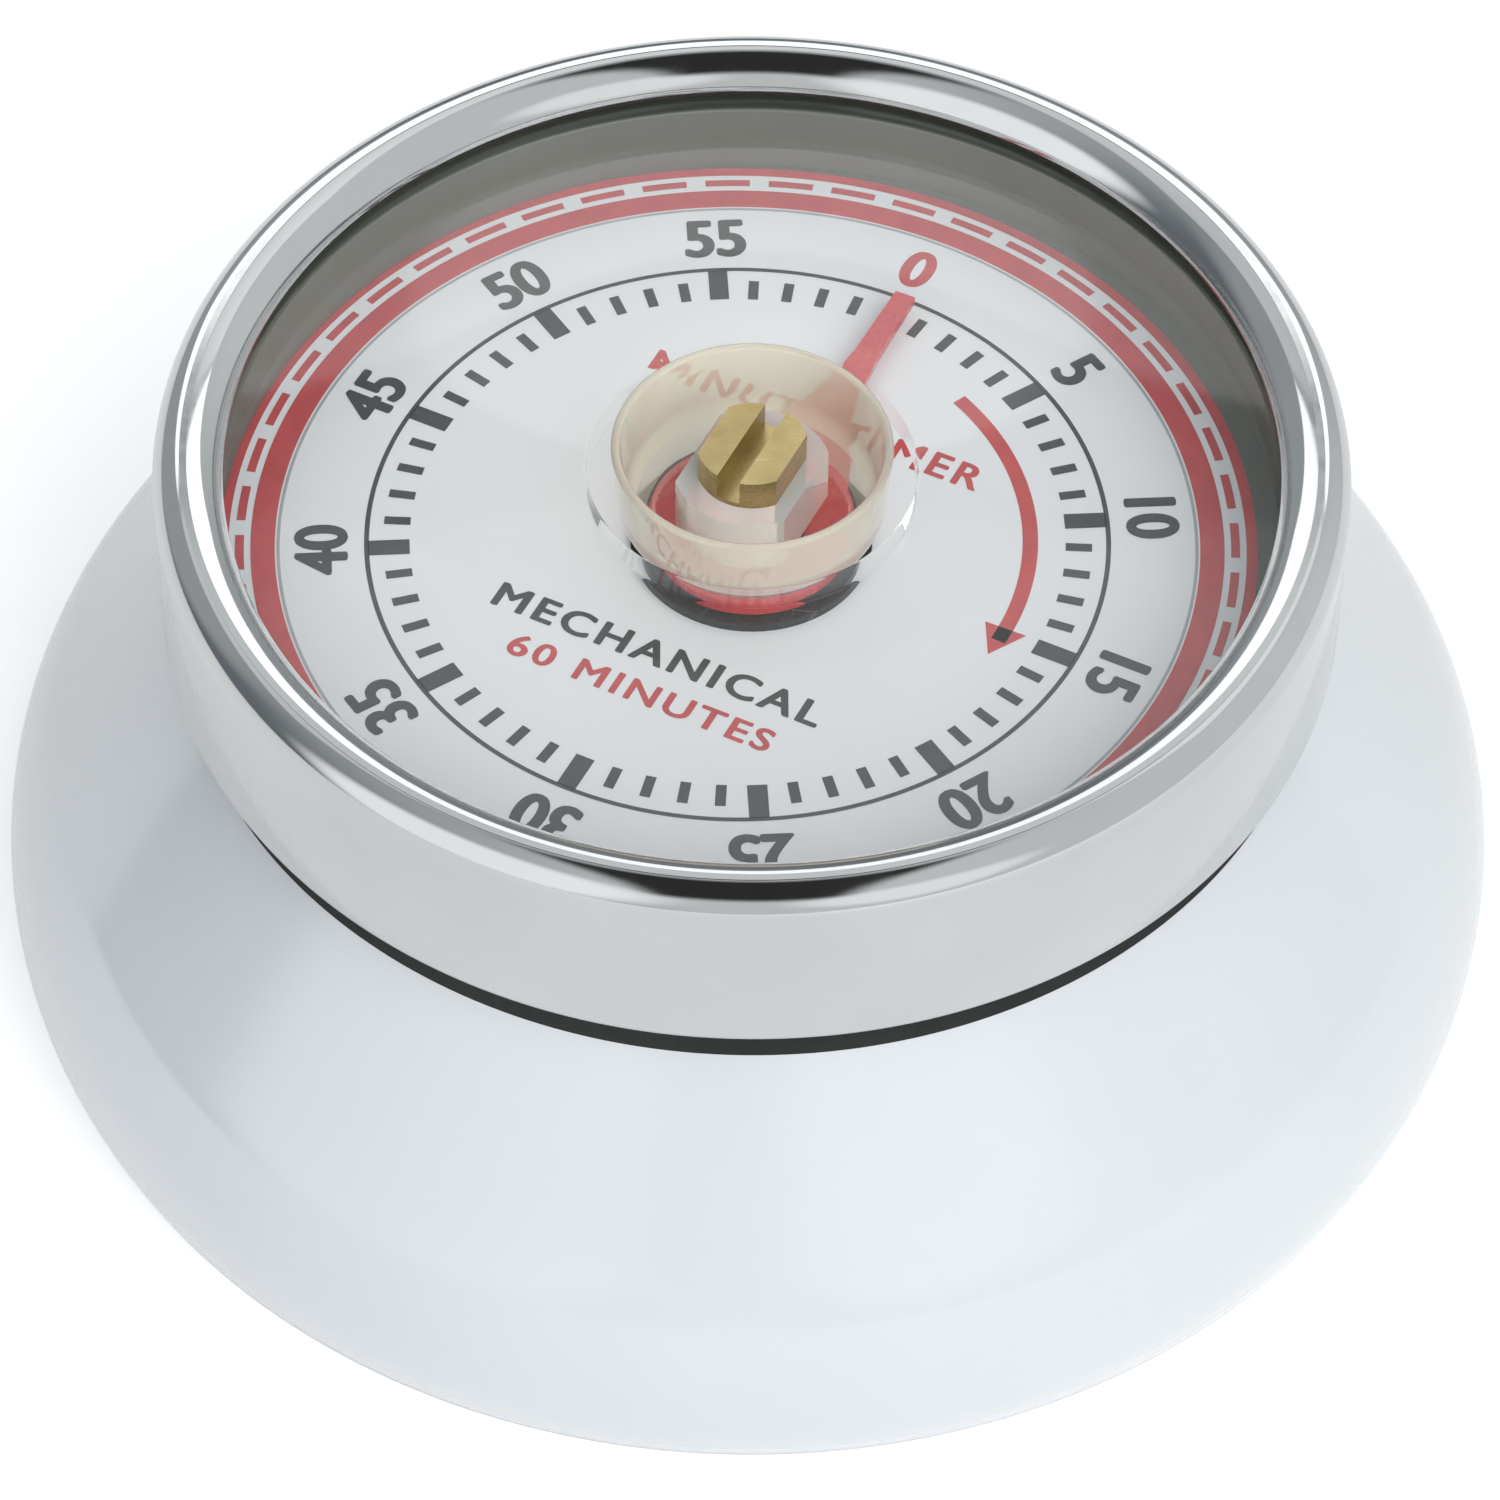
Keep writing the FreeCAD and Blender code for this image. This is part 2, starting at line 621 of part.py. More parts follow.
def screw(spot, seat, length, downward=False):
    """A cheese-head screw whose head sits on a seat, its shank running the other way."""
    head_up = f"({seat} - screw_head_height)" if downward else seat
    shank_up = seat if downward else f"({seat} - {length})"
    slot_up = head_up if downward else f"({seat} + screw_head_height / 2)"
    head = cylinder("screw_head", "screw_head_height", spot, head_up)
    shank = cylinder("screw_shank", length, spot, shank_up)
    start = (f"({spot[0]} - 2 * screw_head)", spot[1])
    slot = box("(4 * screw_head)", "(screw_shank / 2)", "(screw_head_height / 2)", start, slot_up)
    return cut(fused(head, shank), slot)


COVER_SCREW_LENGTH = "(cover_thickness + bracket_thickness)"
piece("cover_screws", group(*[screw(spot, "cover_height", COVER_SCREW_LENGTH, downward=True)
                              for spot in COVER_SCREWS]))

# Movement frame: two plates held apart by four pillars, with a screw at each end of each pillar.
PIVOTS = [SECOND, THIRD, ESCAPE, ANCHOR, HAMMER]
PIVOT_HOLES = [(spot, "(pivot_radius + running_gap)") for spot in PIVOTS]
PILLAR_HOLES = [(spot, "screw_shank") for spot in PILLARS]
piece("rear_plate", padded("rear_plate", "rear_plate_height", "plate_thickness", radius=PLATE_RADIUS,
                           holes=[(CENTRE, "(arbor_pivot + running_gap)"), (HAMMER_END, "stem_hole"),
                                  *PIVOT_HOLES, *PILLAR_HOLES]))
piece("front_plate", padded("front_plate", FRONT_BOTTOM, "front_plate_thickness", radius=PLATE_RADIUS,
                            holes=[(CENTRE, "(arbor_lower + running_gap)"), *PIVOT_HOLES, *PILLAR_HOLES]))
TAP_DEPTH = "(plate_spacing / 3)"
pillars = []
for spot in PILLARS:
    pillar = cylinder("pillar_radius", "plate_spacing", spot, REAR_TOP)
    lower_tap = cylinder("screw_shank", TAP_DEPTH, spot, REAR_TOP)
    upper_tap = cylinder("screw_shank", TAP_DEPTH, spot, f"({FRONT_BOTTOM} - {TAP_DEPTH})")
    pillars.append(cut(pillar, lower_tap, upper_tap))
piece("pillars", group(*pillars))
piece("front_plate_screws", group(*[
    screw(spot, FRONT_TOP, f"(front_plate_thickness + {TAP_DEPTH})") for spot in PILLARS]))
piece("rear_plate_screws", group(*[
    screw(spot, "rear_plate_height", f"(plate_thickness + {TAP_DEPTH})", downward=True)
    for spot in PILLARS]))

# Spring barrel on the front plate, its lid, and the mainspring coiled in it.
ARBOR_CLEAR = "(arbor_radius + 4 * running_gap)"
piece("spring_barrel", turned("spring_barrel", [
    (ARBOR_CLEAR, FRONT_TOP),
    ("barrel_radius", FRONT_TOP),
    ("barrel_radius", BARREL_TOP),
    ("(barrel_radius - barrel_wall)", BARREL_TOP),
    ("(barrel_radius - barrel_wall)", f"({FRONT_TOP} + barrel_wall)"),
    (ARBOR_CLEAR, f"({FRONT_TOP} + barrel_wall)"),
]))
piece("barrel_lid", ring("barrel_lid", ARBOR_CLEAR, "barrel_radius", BARREL_TOP, LID_TOP))


def coil(inner, outer, turns, strip):
    """A flat spiral strip from an inner to an outer radius."""
    steps = round(turns * 20)
    sides = []
    for offset in (0, strip):
        spots = [polar(inner + (outer - strip - inner) * step / steps + offset, 360 * turns * step / steps)
                 for step in range(steps + 1)]
        curve = Part.BSplineCurve()
        curve.interpolate(spots)
        sides.append((curve.toShape(), spots))
    ends = [Part.makeLine(sides[0][1][index], sides[1][1][index]) for index in (0, -1)]
    return Part.Face(Part.Wire(Part.__sortEdges__([sides[0][0], ends[1], sides[1][0], ends[0]])))


spiral = coil(value("arbor_radius + 4 * running_gap + spring_inner_gap"),
              value("barrel_radius - barrel_wall - running_gap"),
              value("spring_turns"), value("spring_strip"))
strip_height = value("barrel_height - barrel_wall - 4 * running_gap")
spring = made("mainspring", raised(spiral, strip_height))
piece("mainspring", place(spring, up=f"({FRONT_TOP} + barrel_wall + 2 * running_gap)"))


# Wheels and pinions: involute teeth, the pinions' enlarged and the wheels' reduced to match.
PRESSURE = math.radians(20)


def involute(angle):
    return math.tan(angle) - angle


def tooth_side(teeth, module, shift, play):
    """Half-angles of a tooth, in degrees, with their radii, from root to tip."""
    pitch = teeth * module / 2
    base = pitch * math.cos(PRESSURE)
    root = pitch - (1.25 - shift) * module
    tip = pitch + (1 + shift) * module
    start = max(base, root)
    half = math.pi / (2 * teeth) + 2 * shift * math.tan(PRESSURE) / teeth + involute(PRESSURE) - play / pitch
    points = []
    for share in (0, 0.45, 1):
        radius = start + (tip - start) * share
        points.append((radius, math.degrees(half - involute(math.acos(min(base / radius, 1))))))
    if root < base:
        points.insert(0, (root, points[0][1]))
    return points


def gear(teeth, module, shift, thickness, bore, windows=()):
    """A toothed wheel about the origin, a tooth centred on +X."""
    side = tooth_side(teeth, module, shift, value("tooth_play"))
    outline = []
    for index in range(teeth):
        middle = 360 * index / teeth
        outline += [polar(radius, middle - half) for radius, half in side]
        outline += [polar(radius, middle + half) for radius, half in reversed(side)]
    return raised(flat_face(outline, [(polar(0, 0), bore), *windows]), thickness)


def windows(count, circle, radius):
    """Round lightening holes in a wheel."""
    return [(polar(circle, 360 * (index + 0.5) / count), radius) for index in range(count)]


teeth = int(value("wheel_teeth"))
third_teeth = int(value("third_teeth"))
leaves = int(value("pinion_teeth"))
coarse = value("great_module")
fine = value("fine_module")
shift = value("pinion_shift")
staff = value("staff_radius")
thin = value("wheel_thickness")

GREAT_BOTTOM = f"({REAR_TOP} + great_level)"
GREAT_TOP = f"({GREAT_BOTTOM} + great_thickness)"
SECOND_BOTTOM = f"({REAR_TOP} + second_level)"
THIRD_BOTTOM = f"({REAR_TOP} + third_level)"
great_pitch = value(GREAT_PITCH)
second_pitch = teeth * fine / 2
third_pitch = third_teeth * fine / 2

great_windows = windows(5, great_pitch * 0.69, great_pitch * 0.13)
great = made("great_wheel", gear(teeth, coarse, -shift, value("great_thickness"),
                                 value("arbor_lower"), great_windows))
piece("great_wheel", place(great, up=GREAT_BOTTOM, turn="second_direction"))
second = made("second_wheel", gear(teeth, fine, -shift, thin, staff,
                                   windows(5, second_pitch * 0.58, second_pitch * 0.24)))
piece("second_wheel", place(second, SECOND, SECOND_BOTTOM, "third_direction"))
third = made("third_wheel", gear(third_teeth, fine, -shift, thin, staff,
                                 windows(4, third_pitch * 0.56, third_pitch * 0.24)))
piece("third_wheel", place(third, THIRD, THIRD_BOTTOM, "escape_direction"))


def staff_blank(name, shoulder_low, shoulder_high):
    """A steel arbor between the plates, with a thinner pivot at each end."""
    low = f"({REAR_TOP} + end_shake)"
    high = f"({FRONT_BOTTOM} - end_shake)"
    return turned(name, [
        ("0", "(rear_plate_height + end_shake)"),
        ("pivot_radius", "(rear_plate_height + end_shake)"),
        ("pivot_radius", low),
        (shoulder_low, low),
        (shoulder_high, high),
        ("pivot_radius", high),
        ("pivot_radius", f"({FRONT_TOP} - end_shake)"),
        ("0", f"({FRONT_TOP} - end_shake)"),
    ])


def pinion_staff(name, spot, module, wheel_bottom, wheel_thickness, toward):
    """An arbor with its pinion's leaves cut on it, a gap between leaves facing the driving wheel."""
    blank = place(staff_blank(name, "staff_radius", "staff_radius"), spot)
    length = f"({wheel_thickness} + 2 * pinion_margin)"
    teeth_shape = gear(leaves, module, shift, value(length), staff)
    toothed = made(f"{name}_leaves", teeth_shape)
    place(toothed, spot, f"({wheel_bottom} - pinion_margin)", f"({toward} + 180 + 180 / pinion_teeth)")
    return piece(name, fused(blank, toothed))


pinion_staff("second_arbor", SECOND, coarse, GREAT_BOTTOM, "great_thickness", "second_direction")
pinion_staff("third_arbor", THIRD, fine, SECOND_BOTTOM, "wheel_thickness", "third_direction")
pinion_staff("escape_arbor", ESCAPE, fine, THIRD_BOTTOM, "wheel_thickness", "escape_direction")

# Ratchet wheel on the arbor, and the click that rides on the great wheel and drops in its teeth.
ratchet_tip = value("ratchet_radius")
ratchet_root = ratchet_tip - value("ratchet_depth")
ratchet_count = int(value("ratchet_teeth"))
ratchet_step = 360 / ratchet_count
ratchet_outline = []
for index in range(ratchet_count):
    ratchet_outline += [polar(ratchet_root, ratchet_step * index), polar(ratchet_tip, ratchet_step * index)]
ratchet_face = flat_face(ratchet_outline, [(polar(0, 0), value("arbor_lower"))])
RATCHET_BOTTOM = f"({GREAT_TOP} + ratchet_gap)"
ratchet = made("ratchet_wheel", raised(ratchet_face, value("ratchet_thickness")))
piece("ratchet_wheel", place(ratchet, up=RATCHET_BOTTOM))

CLICK_PIVOT = step_from(CENTRE, "click_pivot_circle", "click_pivot_angle")
click_pivot = FreeCAD.Vector(value(CLICK_PIVOT[0]), value(CLICK_PIVOT[1]), 0)
click_eye = value("click_eye")
nose_clear = value("ratchet_gap")
nose_inner = polar(ratchet_root + nose_clear, -nose_clear * 20)
nose_outer = polar(ratchet_tip + value("click_width"), -nose_clear * 10)
heel_inner = polar(ratchet_tip + nose_clear * 2, -ratchet_step * 1.15)
beam_end = click_pivot + FreeCAD.Vector(click_eye * 0.9, 0, 0)
click_face = flat_face([nose_inner, heel_inner, click_pivot, beam_end, nose_outer])
click_disc = Part.makeCylinder(click_eye, value("ratchet_thickness"), click_pivot)
click_blank = raised(click_face, value("ratchet_thickness")).fuse(click_disc)
click_hole = Part.makeCylinder(value("pivot_radius + running_gap"), value("ratchet_thickness"), click_pivot)
click = made("click", click_blank.cut(click_hole).removeSplitter())
piece("click", place(click, up=RATCHET_BOTTOM))
CLICK_TOP = f"({RATCHET_BOTTOM} + ratchet_thickness)"
click_stud = cylinder("pivot_radius", "(ratchet_gap + ratchet_thickness + running_gap)",
                      CLICK_PIVOT, GREAT_TOP)
click_head = cylinder("(click_eye * 0.9)", "(screw_head_height * 0.6)", CLICK_PIVOT,
                      f"({CLICK_TOP} + running_gap)")
piece("click_screw", fused(click_stud, click_head))

# Click spring: a bent strip held on the great wheel, its free end just behind the click.
SPRING_POST = step_from(CENTRE, "(click_pivot_circle + 2.4)", "12")
spring_leaf = box("(click_pivot_circle * 0.62)", "(spring_strip)", "ratchet_thickness", SPRING_POST,
                  RATCHET_BOTTOM, "262")
spring_post = cylinder("(pivot_radius + spring_strip)", "(ratchet_gap + ratchet_thickness)",
                       SPRING_POST, GREAT_TOP)
piece("click_spring", fused(spring_leaf, spring_post))

# Stop: a pin on the great wheel meets a lug under the front plate at each end of the turn.
STOP_LUG_DIRECTION = "90"
STOP_PIN_SPOT = step_from(CENTRE, "stop_circle", f"({STOP_LUG_DIRECTION} - stop_angle)")
piece("stop_pin", cylinder("stop_pin", "stop_height", STOP_PIN_SPOT, GREAT_TOP))
LUG_HEIGHT = f"({FRONT_BOTTOM} - {GREAT_TOP} - 6 * running_gap)"
LUG_START = step_from(CENTRE, "(stop_circle - lug_depth / 2)", STOP_LUG_DIRECTION)
piece("stop_lug", box("lug_depth", "lug_width", LUG_HEIGHT, LUG_START,
                      f"({GREAT_TOP} + 6 * running_gap)", STOP_LUG_DIRECTION))

# Escape wheel: pointed teeth, one of them facing the anchor's arbor.
escape_tip = value("escape_radius")
escape_root = escape_tip - value("escape_depth")
escape_count = int(value("escape_teeth"))
escape_step = 360 / escape_count
escape_outline = []
for index in range(escape_count):
    middle = escape_step * index
    escape_outline += [polar(escape_root, middle - escape_step * 0.24), polar(escape_tip, middle - 0.9),
                       polar(escape_tip, middle + 0.9), polar(escape_root, middle + escape_step * 0.24)]
escape_windows = windows(4, escape_root * 0.6, escape_root * 0.24)
escape_face = flat_face(escape_outline, [(polar(0, 0), staff), *escape_windows])
ESCAPE_BOTTOM = f"({REAR_TOP} + escape_level)"
escape = made("escape_wheel", raised(escape_face, thin))
piece("escape_wheel", place(escape, ESCAPE, ESCAPE_BOTTOM, "anchor_direction"))

# Anchor: two arms and a hub on its arbor, with a steel pallet pin under the end of each arm.
ANCHOR_REACH = f"({PALLET_CIRCLE} * tan(pallet_span))"
ANCHOR_BOTTOM = f"({REAR_TOP} + anchor_level)"
ARM_TURNS = [f"(anchor_direction + 180 {sign} (90 - pallet_span))" for sign in "+-"]
PALLETS = [step_from(ANCHOR, ANCHOR_REACH, turn) for turn in ARM_TURNS]
anchor_parts = [box(ANCHOR_REACH, "anchor_width", "anchor_thickness", ANCHOR, ANCHOR_BOTTOM, turn)
                for turn in ARM_TURNS]
anchor_parts += [cylinder("(anchor_width / 2)", "anchor_thickness", spot, ANCHOR_BOTTOM)
                 for spot in PALLETS]
anchor_parts.append(cylinder("anchor_hub", "anchor_thickness", ANCHOR, ANCHOR_BOTTOM))
anchor_hole = cylinder("staff_radius", "anchor_thickness", ANCHOR, ANCHOR_BOTTOM)
piece("anchor", cut(fused(*anchor_parts), anchor_hole))
PALLET_LENGTH = f"({ANCHOR_BOTTOM} - {ESCAPE_BOTTOM})"
piece("pallet_pins", group(*[cylinder("pallet_radius", PALLET_LENGTH, spot, ESCAPE_BOTTOM)
                             for spot in PALLETS]))
anchor_staff = staff_blank("anchor_arbor", "staff_radius", "staff_radius")
piece("anchor_arbor", place(anchor_staff, ANCHOR))

# Balance wheel on the anchor's arbor: a rim, a hub and two spokes.
BALANCE_BOTTOM = f"({REAR_TOP} + balance_level)"
BALANCE_TOP = f"({BALANCE_BOTTOM} + balance_thickness)"
rim = ring("balance_rim", "(balance_radius - balance_rim)", "balance_radius", BALANCE_BOTTOM, BALANCE_TOP)
spoke = box("(2 * balance_radius - balance_rim)", "balance_rim", "balance_thickness",
            ("(balance_rim / 2 - balance_radius)", "0"), BALANCE_BOTTOM)
hub = cylinder("anchor_hub", "balance_thickness", CENTRE, BALANCE_BOTTOM)
balance_hole = cylinder("staff_radius", "balance_thickness", CENTRE, BALANCE_BOTTOM)
balance = cut(fused(rim, spoke, hub), balance_hole)
piece("balance_wheel", place(balance, ANCHOR))

# Alarm cam: a disc on the main arbor with a notch that the hammer lever's nose drops in at 0.
NOSE_CIRCLE = "(cam_radius + nose_radius + nose_gap)"
ARM_CIRCLE = f"({NOSE_CIRCLE} + nose_finger)"
NOSE_DIRECTION = f"(hammer_direction - acos({ARM_CIRCLE} / {HAMMER_CIRCLE}) / 1 deg)"
cam_floor = value("cam_radius - cam_notch")
cam_edge = value("cam_notch_angle") / 2
cam_disc = Part.Face(Part.Wire(Part.makeCircle(value("cam_radius"))))
notch = Part.Face(Part.makePolygon([polar(cam_floor, -cam_edge), polar(cam_floor, cam_edge),
                                    polar(2 * cam_floor, cam_edge), polar(2 * cam_floor, -cam_edge),
                                    polar(cam_floor, -cam_edge)]))
cam_bore = Part.Face(Part.Wire(Part.makeCircle(value("arbor_lower"))))
cam = made("alarm_cam", raised(cam_disc.cut(notch).cut(cam_bore), value("cam_thickness")))
CAM_BOTTOM = f"({REAR_TOP} + cam_level)"
piece("alarm_cam", place(cam, up=CAM_BOTTOM, turn=f"({NOSE_DIRECTION} - stop_angle)"))

# Hammer lever: one arm passes beside the cam and ends in a finger whose nose rides on it, the other
# carries the hammer's stem down to the bell.
NOSE = step_from(CENTRE, NOSE_CIRCLE, NOSE_DIRECTION)
ARM_END = step_from(CENTRE, ARM_CIRCLE, NOSE_DIRECTION)
ARM_REACH = f"(sqrt({HAMMER_CIRCLE} ^ 2 - {ARM_CIRCLE} ^ 2))"
LEVER_BOTTOM = f"({CAM_BOTTOM} + (cam_thickness - hammer_thickness) / 2)"
ARM_TURN = f"({NOSE_DIRECTION} - 90)"
lever_parts = [
    box(ARM_REACH, "(2 * nose_radius)", "hammer_thickness", HAMMER, LEVER_BOTTOM, ARM_TURN),
    box("nose_finger", "(2 * nose_radius)", "hammer_thickness", NOSE, LEVER_BOTTOM, NOSE_DIRECTION),
    cylinder("nose_radius", "hammer_thickness", ARM_END, LEVER_BOTTOM),
    box("hammer_reach", "hammer_width", "hammer_thickness", HAMMER, LEVER_BOTTOM, "hammer_turn"),
    cylinder("nose_radius", "hammer_thickness", NOSE, LEVER_BOTTOM),
    cylinder("hammer_hub", "hammer_thickness", HAMMER, LEVER_BOTTOM),
    cylinder("(hammer_width / 2)", "hammer_thickness", HAMMER_END, LEVER_BOTTOM),
]
lever_holes = [cylinder("staff_radius", "hammer_thickness", HAMMER, LEVER_BOTTOM),
               cylinder("hammer_stem", "hammer_thickness", HAMMER_END, LEVER_BOTTOM)]
piece("hammer_lever", cut(fused(*lever_parts), *lever_holes))
hammer_staff = staff_blank("hammer_arbor", "staff_radius", "staff_radius")
piece("hammer_arbor", place(hammer_staff, HAMMER))
HEAD_BOTTOM = f"({BELL_BOTTOM} + bell_height - hammer_head_height)"
stem = cylinder("hammer_stem", f"({LEVER_BOTTOM} + hammer_thickness - {HEAD_BOTTOM})",
                HAMMER_END, HEAD_BOTTOM)
head = cylinder("hammer_head", "hammer_head_height", HAMMER_END, HEAD_BOTTOM)
piece("hammer_head", fused(stem, head))

# Bell: a shallow cup under the rear plate, open upwards, on a post and a screw.
piece("bell", turned("bell", [
    ("screw_shank", BELL_BOTTOM),
    ("(bell_radius - bell_round)", BELL_BOTTOM),
    ("bell_radius", f"({BELL_BOTTOM} + bell_round)", "bell_round"),
    ("bell_radius", f"({BELL_BOTTOM} + bell_height)"),
    ("(bell_radius - bell_sheet)", f"({BELL_BOTTOM} + bell_height)"),
    ("(bell_radius - bell_sheet)", f"({BELL_BOTTOM} + bell_round)"),
    ("(bell_radius - bell_round)", f"({BELL_BOTTOM} + bell_sheet)", "-(bell_round - bell_sheet)"),
    ("screw_shank", f"({BELL_BOTTOM} + bell_sheet)"),
]))
POST_BOTTOM = f"({BELL_BOTTOM} + bell_sheet)"
POST_HEIGHT = f"(rear_plate_height - {POST_BOTTOM})"
post = cylinder("bell_post", POST_HEIGHT, CENTRE, POST_BOTTOM)
post_tap = cylinder("screw_shank", f"({POST_HEIGHT} / 2)", CENTRE, POST_BOTTOM)
piece("bell_post", cut(post, post_tap))
piece("bell_screw", screw(CENTRE, BELL_BOTTOM, f"(bell_sheet + {POST_HEIGHT} / 2)", downward=True))

doc.recompute()

faults = [item.Label for item in doc.Objects if "Invalid" in item.State or "Error" in item.State]
for name, item in pieces.items():
    if item.Shape.isNull() or not item.Shape.isValid() or not item.Shape.Solids:
        faults.append(name)
if faults:
    raise RuntimeError(f"these objects failed: {faults}")

os.makedirs("parts", exist_ok=True)
for name, item in pieces.items():
    item.Shape.exportStep(f"parts/{name}.step")
    print(f"{name}: {len(item.Shape.Solids)} solid, {item.Shape.Volume:.2f} mm3")
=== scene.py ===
import math

import bmesh
import bpy
from mathutils import Matrix, Vector


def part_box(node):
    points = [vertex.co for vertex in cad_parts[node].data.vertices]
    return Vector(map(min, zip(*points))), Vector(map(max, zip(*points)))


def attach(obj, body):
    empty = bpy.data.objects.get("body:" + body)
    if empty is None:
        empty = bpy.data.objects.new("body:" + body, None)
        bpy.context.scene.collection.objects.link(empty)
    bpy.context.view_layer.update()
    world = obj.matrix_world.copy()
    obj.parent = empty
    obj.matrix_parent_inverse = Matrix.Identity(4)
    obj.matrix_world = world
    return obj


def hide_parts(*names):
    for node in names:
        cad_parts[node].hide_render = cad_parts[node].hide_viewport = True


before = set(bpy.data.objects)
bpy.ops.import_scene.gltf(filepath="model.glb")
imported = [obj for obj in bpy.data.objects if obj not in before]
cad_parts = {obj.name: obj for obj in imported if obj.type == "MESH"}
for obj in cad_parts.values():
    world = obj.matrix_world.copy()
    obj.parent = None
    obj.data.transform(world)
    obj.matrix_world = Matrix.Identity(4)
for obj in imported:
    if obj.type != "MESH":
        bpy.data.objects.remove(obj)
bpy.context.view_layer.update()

MM = 0.001

# Movement plates, barrel and back cover: pressed mild steel under bright zinc. The sheet keeps faint
# rolling marks and a cloudy passivated bloom. The cover is screwed to three small brackets.


def new_group(name, inputs, outputs):
    """An empty node group with named sockets, and its two end nodes."""
    group = bpy.data.node_groups.new(name, "ShaderNodeTree")
    for label, kind, value in inputs:
        socket = group.interface.new_socket(label, in_out="INPUT", socket_type=f"NodeSocket{kind}")
        socket.default_value = value
    for label, kind in outputs:
        group.interface.new_socket(label, in_out="OUTPUT", socket_type=f"NodeSocket{kind}")
    return group, group.nodes.new("NodeGroupInput"), group.nodes.new("NodeGroupOutput")


def add_node(tree, kind, settings=None, **links):
    """A node with its settings, its sockets set to numbers or joined to other nodes' sockets."""
    node = tree.nodes.new(f"ShaderNode{kind}")
    for key, setting in (settings or {}).items():
        setattr(node, key, setting)
    for label, source in links.items():
        socket = node.inputs[int(label[1:])] if label[0] == "_" else node.inputs[label.replace("_", " ")]
        if isinstance(source, bpy.types.NodeSocket):
            tree.links.new(source, socket)
        else:
            socket.default_value = source
    return node


def make_handled_group():
    """Cloudy bloom, fine grain and sparse scratches in the piece's own metres."""
    group, given, out = new_group(
        "handled_surface",
        [("Bloom Size", "Float", 120.0), ("Grain Size", "Float", 2500.0), ("Stretch", "Vector", (1, 1, 1)),
         ("Scratches", "Float", 0.3)],
        [("Bloom", "Float"), ("Grain", "Float"), ("Scratch", "Float"), ("Height", "Float")])
    place = add_node(group, "TexCoord").outputs["Object"]
    drawn = add_node(group, "VectorMath", {"operation": "MULTIPLY"}, _0=place,
                     _1=given.outputs["Stretch"]).outputs[0]
    bloom = add_node(group, "TexNoise", Vector=place, Scale=given.outputs["Bloom Size"], Detail=4.0,
                     Roughness=0.55)
    grain = add_node(group, "TexNoise", Vector=drawn, Scale=given.outputs["Grain Size"], Detail=3.0,
                     Roughness=0.6)
    bent = add_node(group, "TexNoise", Vector=place, Scale=300.0, Detail=2.0)
    shifted = add_node(group, "VectorMath", {"operation": "MULTIPLY_ADD"}, _0=bent.outputs["Color"],
                       _1=(0.0012, 0.0012, 0.0012), _2=place)
    lines = add_node(group, "TexVoronoi", {"feature": "DISTANCE_TO_EDGE"}, Vector=shifted.outputs[0],
                     Scale=260.0)
    thin = add_node(group, "MapRange", Value=lines.outputs["Distance"], From_Min=0.0, From_Max=0.012,
                    To_Min=1.0, To_Max=0.0)
    sparse = add_node(group, "TexNoise", Vector=place, Scale=420.0, Detail=1.0)
    keep = add_node(group, "MapRange", Value=sparse.outputs["Fac"], From_Min=0.56, From_Max=0.66)
    few = add_node(group, "Math", {"operation": "MULTIPLY"}, _0=thin.outputs[0], _1=keep.outputs[0])
    scratch = add_node(group, "Math", {"operation": "MULTIPLY"}, _0=few.outputs[0],
                       _1=given.outputs["Scratches"])
    height = add_node(group, "Math", {"operation": "SUBTRACT"}, _0=grain.outputs["Fac"],
                      _1=scratch.outputs[0])
    for label, source in (("Bloom", bloom.outputs["Fac"]), ("Grain", grain.outputs["Fac"]),
                          ("Scratch", scratch.outputs[0]), ("Height", height.outputs[0])):
        group.links.new(source, out.inputs[label])
    return group


HANDLED = make_handled_group()


def finish(name, light, dark, rough=(0.25, 0.4), metallic=0.0, bloom=120.0, grain=2500.0,
           stretch=(1, 1, 1), scratches=0.3, bump=0.05, bump_depth=0.00002, worn=None, **sockets):
    """A solid finish: two close tones mottled by bloom, roughness from grain, a bump from both."""
    material = bpy.data.materials.new(name)
    material.use_nodes = True
    tree = material.node_tree
    shader = tree.nodes["Principled BSDF"]
    surface = tree.nodes.new("ShaderNodeGroup")
    surface.node_tree = HANDLED
    surface.inputs["Bloom Size"].default_value = bloom
    surface.inputs["Grain Size"].default_value = grain
    surface.inputs["Stretch"].default_value = stretch
    surface.inputs["Scratches"].default_value = scratches
    mask = add_node(tree, "MapRange", Value=surface.outputs["Bloom"], From_Min=0.3, From_Max=0.7)
    tone = add_node(tree, "Mix", {"data_type": "RGBA"}, _0=mask.outputs[0])
    tone.inputs["A"].default_value = (*dark, 1)
    tone.inputs["B"].default_value = (*light, 1)
    scar = add_node(tree, "Mix", {"data_type": "RGBA"}, _0=surface.outputs["Scratch"])
    tree.links.new(tone.outputs["Result"], scar.inputs["A"])
    scar.inputs["B"].default_value = (*(worn or light), 1)
    tree.links.new(scar.outputs["Result"], shader.inputs["Base Color"])
    roughness = add_node(tree, "MapRange", Value=surface.outputs["Grain"], From_Min=0.25, From_Max=0.75,
                         To_Min=rough[0], To_Max=rough[1])
    tree.links.new(roughness.outputs[0], shader.inputs["Roughness"])
    relief = add_node(tree, "Bump", Strength=bump, Distance=bump_depth, Height=surface.outputs["Height"])
    tree.links.new(relief.outputs[0], shader.inputs["Normal"])
    shader.inputs["Metallic"].default_value = metallic
    for label, value in sockets.items():
        shader.inputs[label.replace("_", " ")].default_value = value
    return material


def coat_nodes(material, *names):
    """Puts a material on CAD pieces that keep their own shape."""
    for name in names:
        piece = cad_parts[name]
        if piece.material_slots:
            for place in piece.material_slots:
                place.material = material
        else:
            piece.data.materials.append(material)


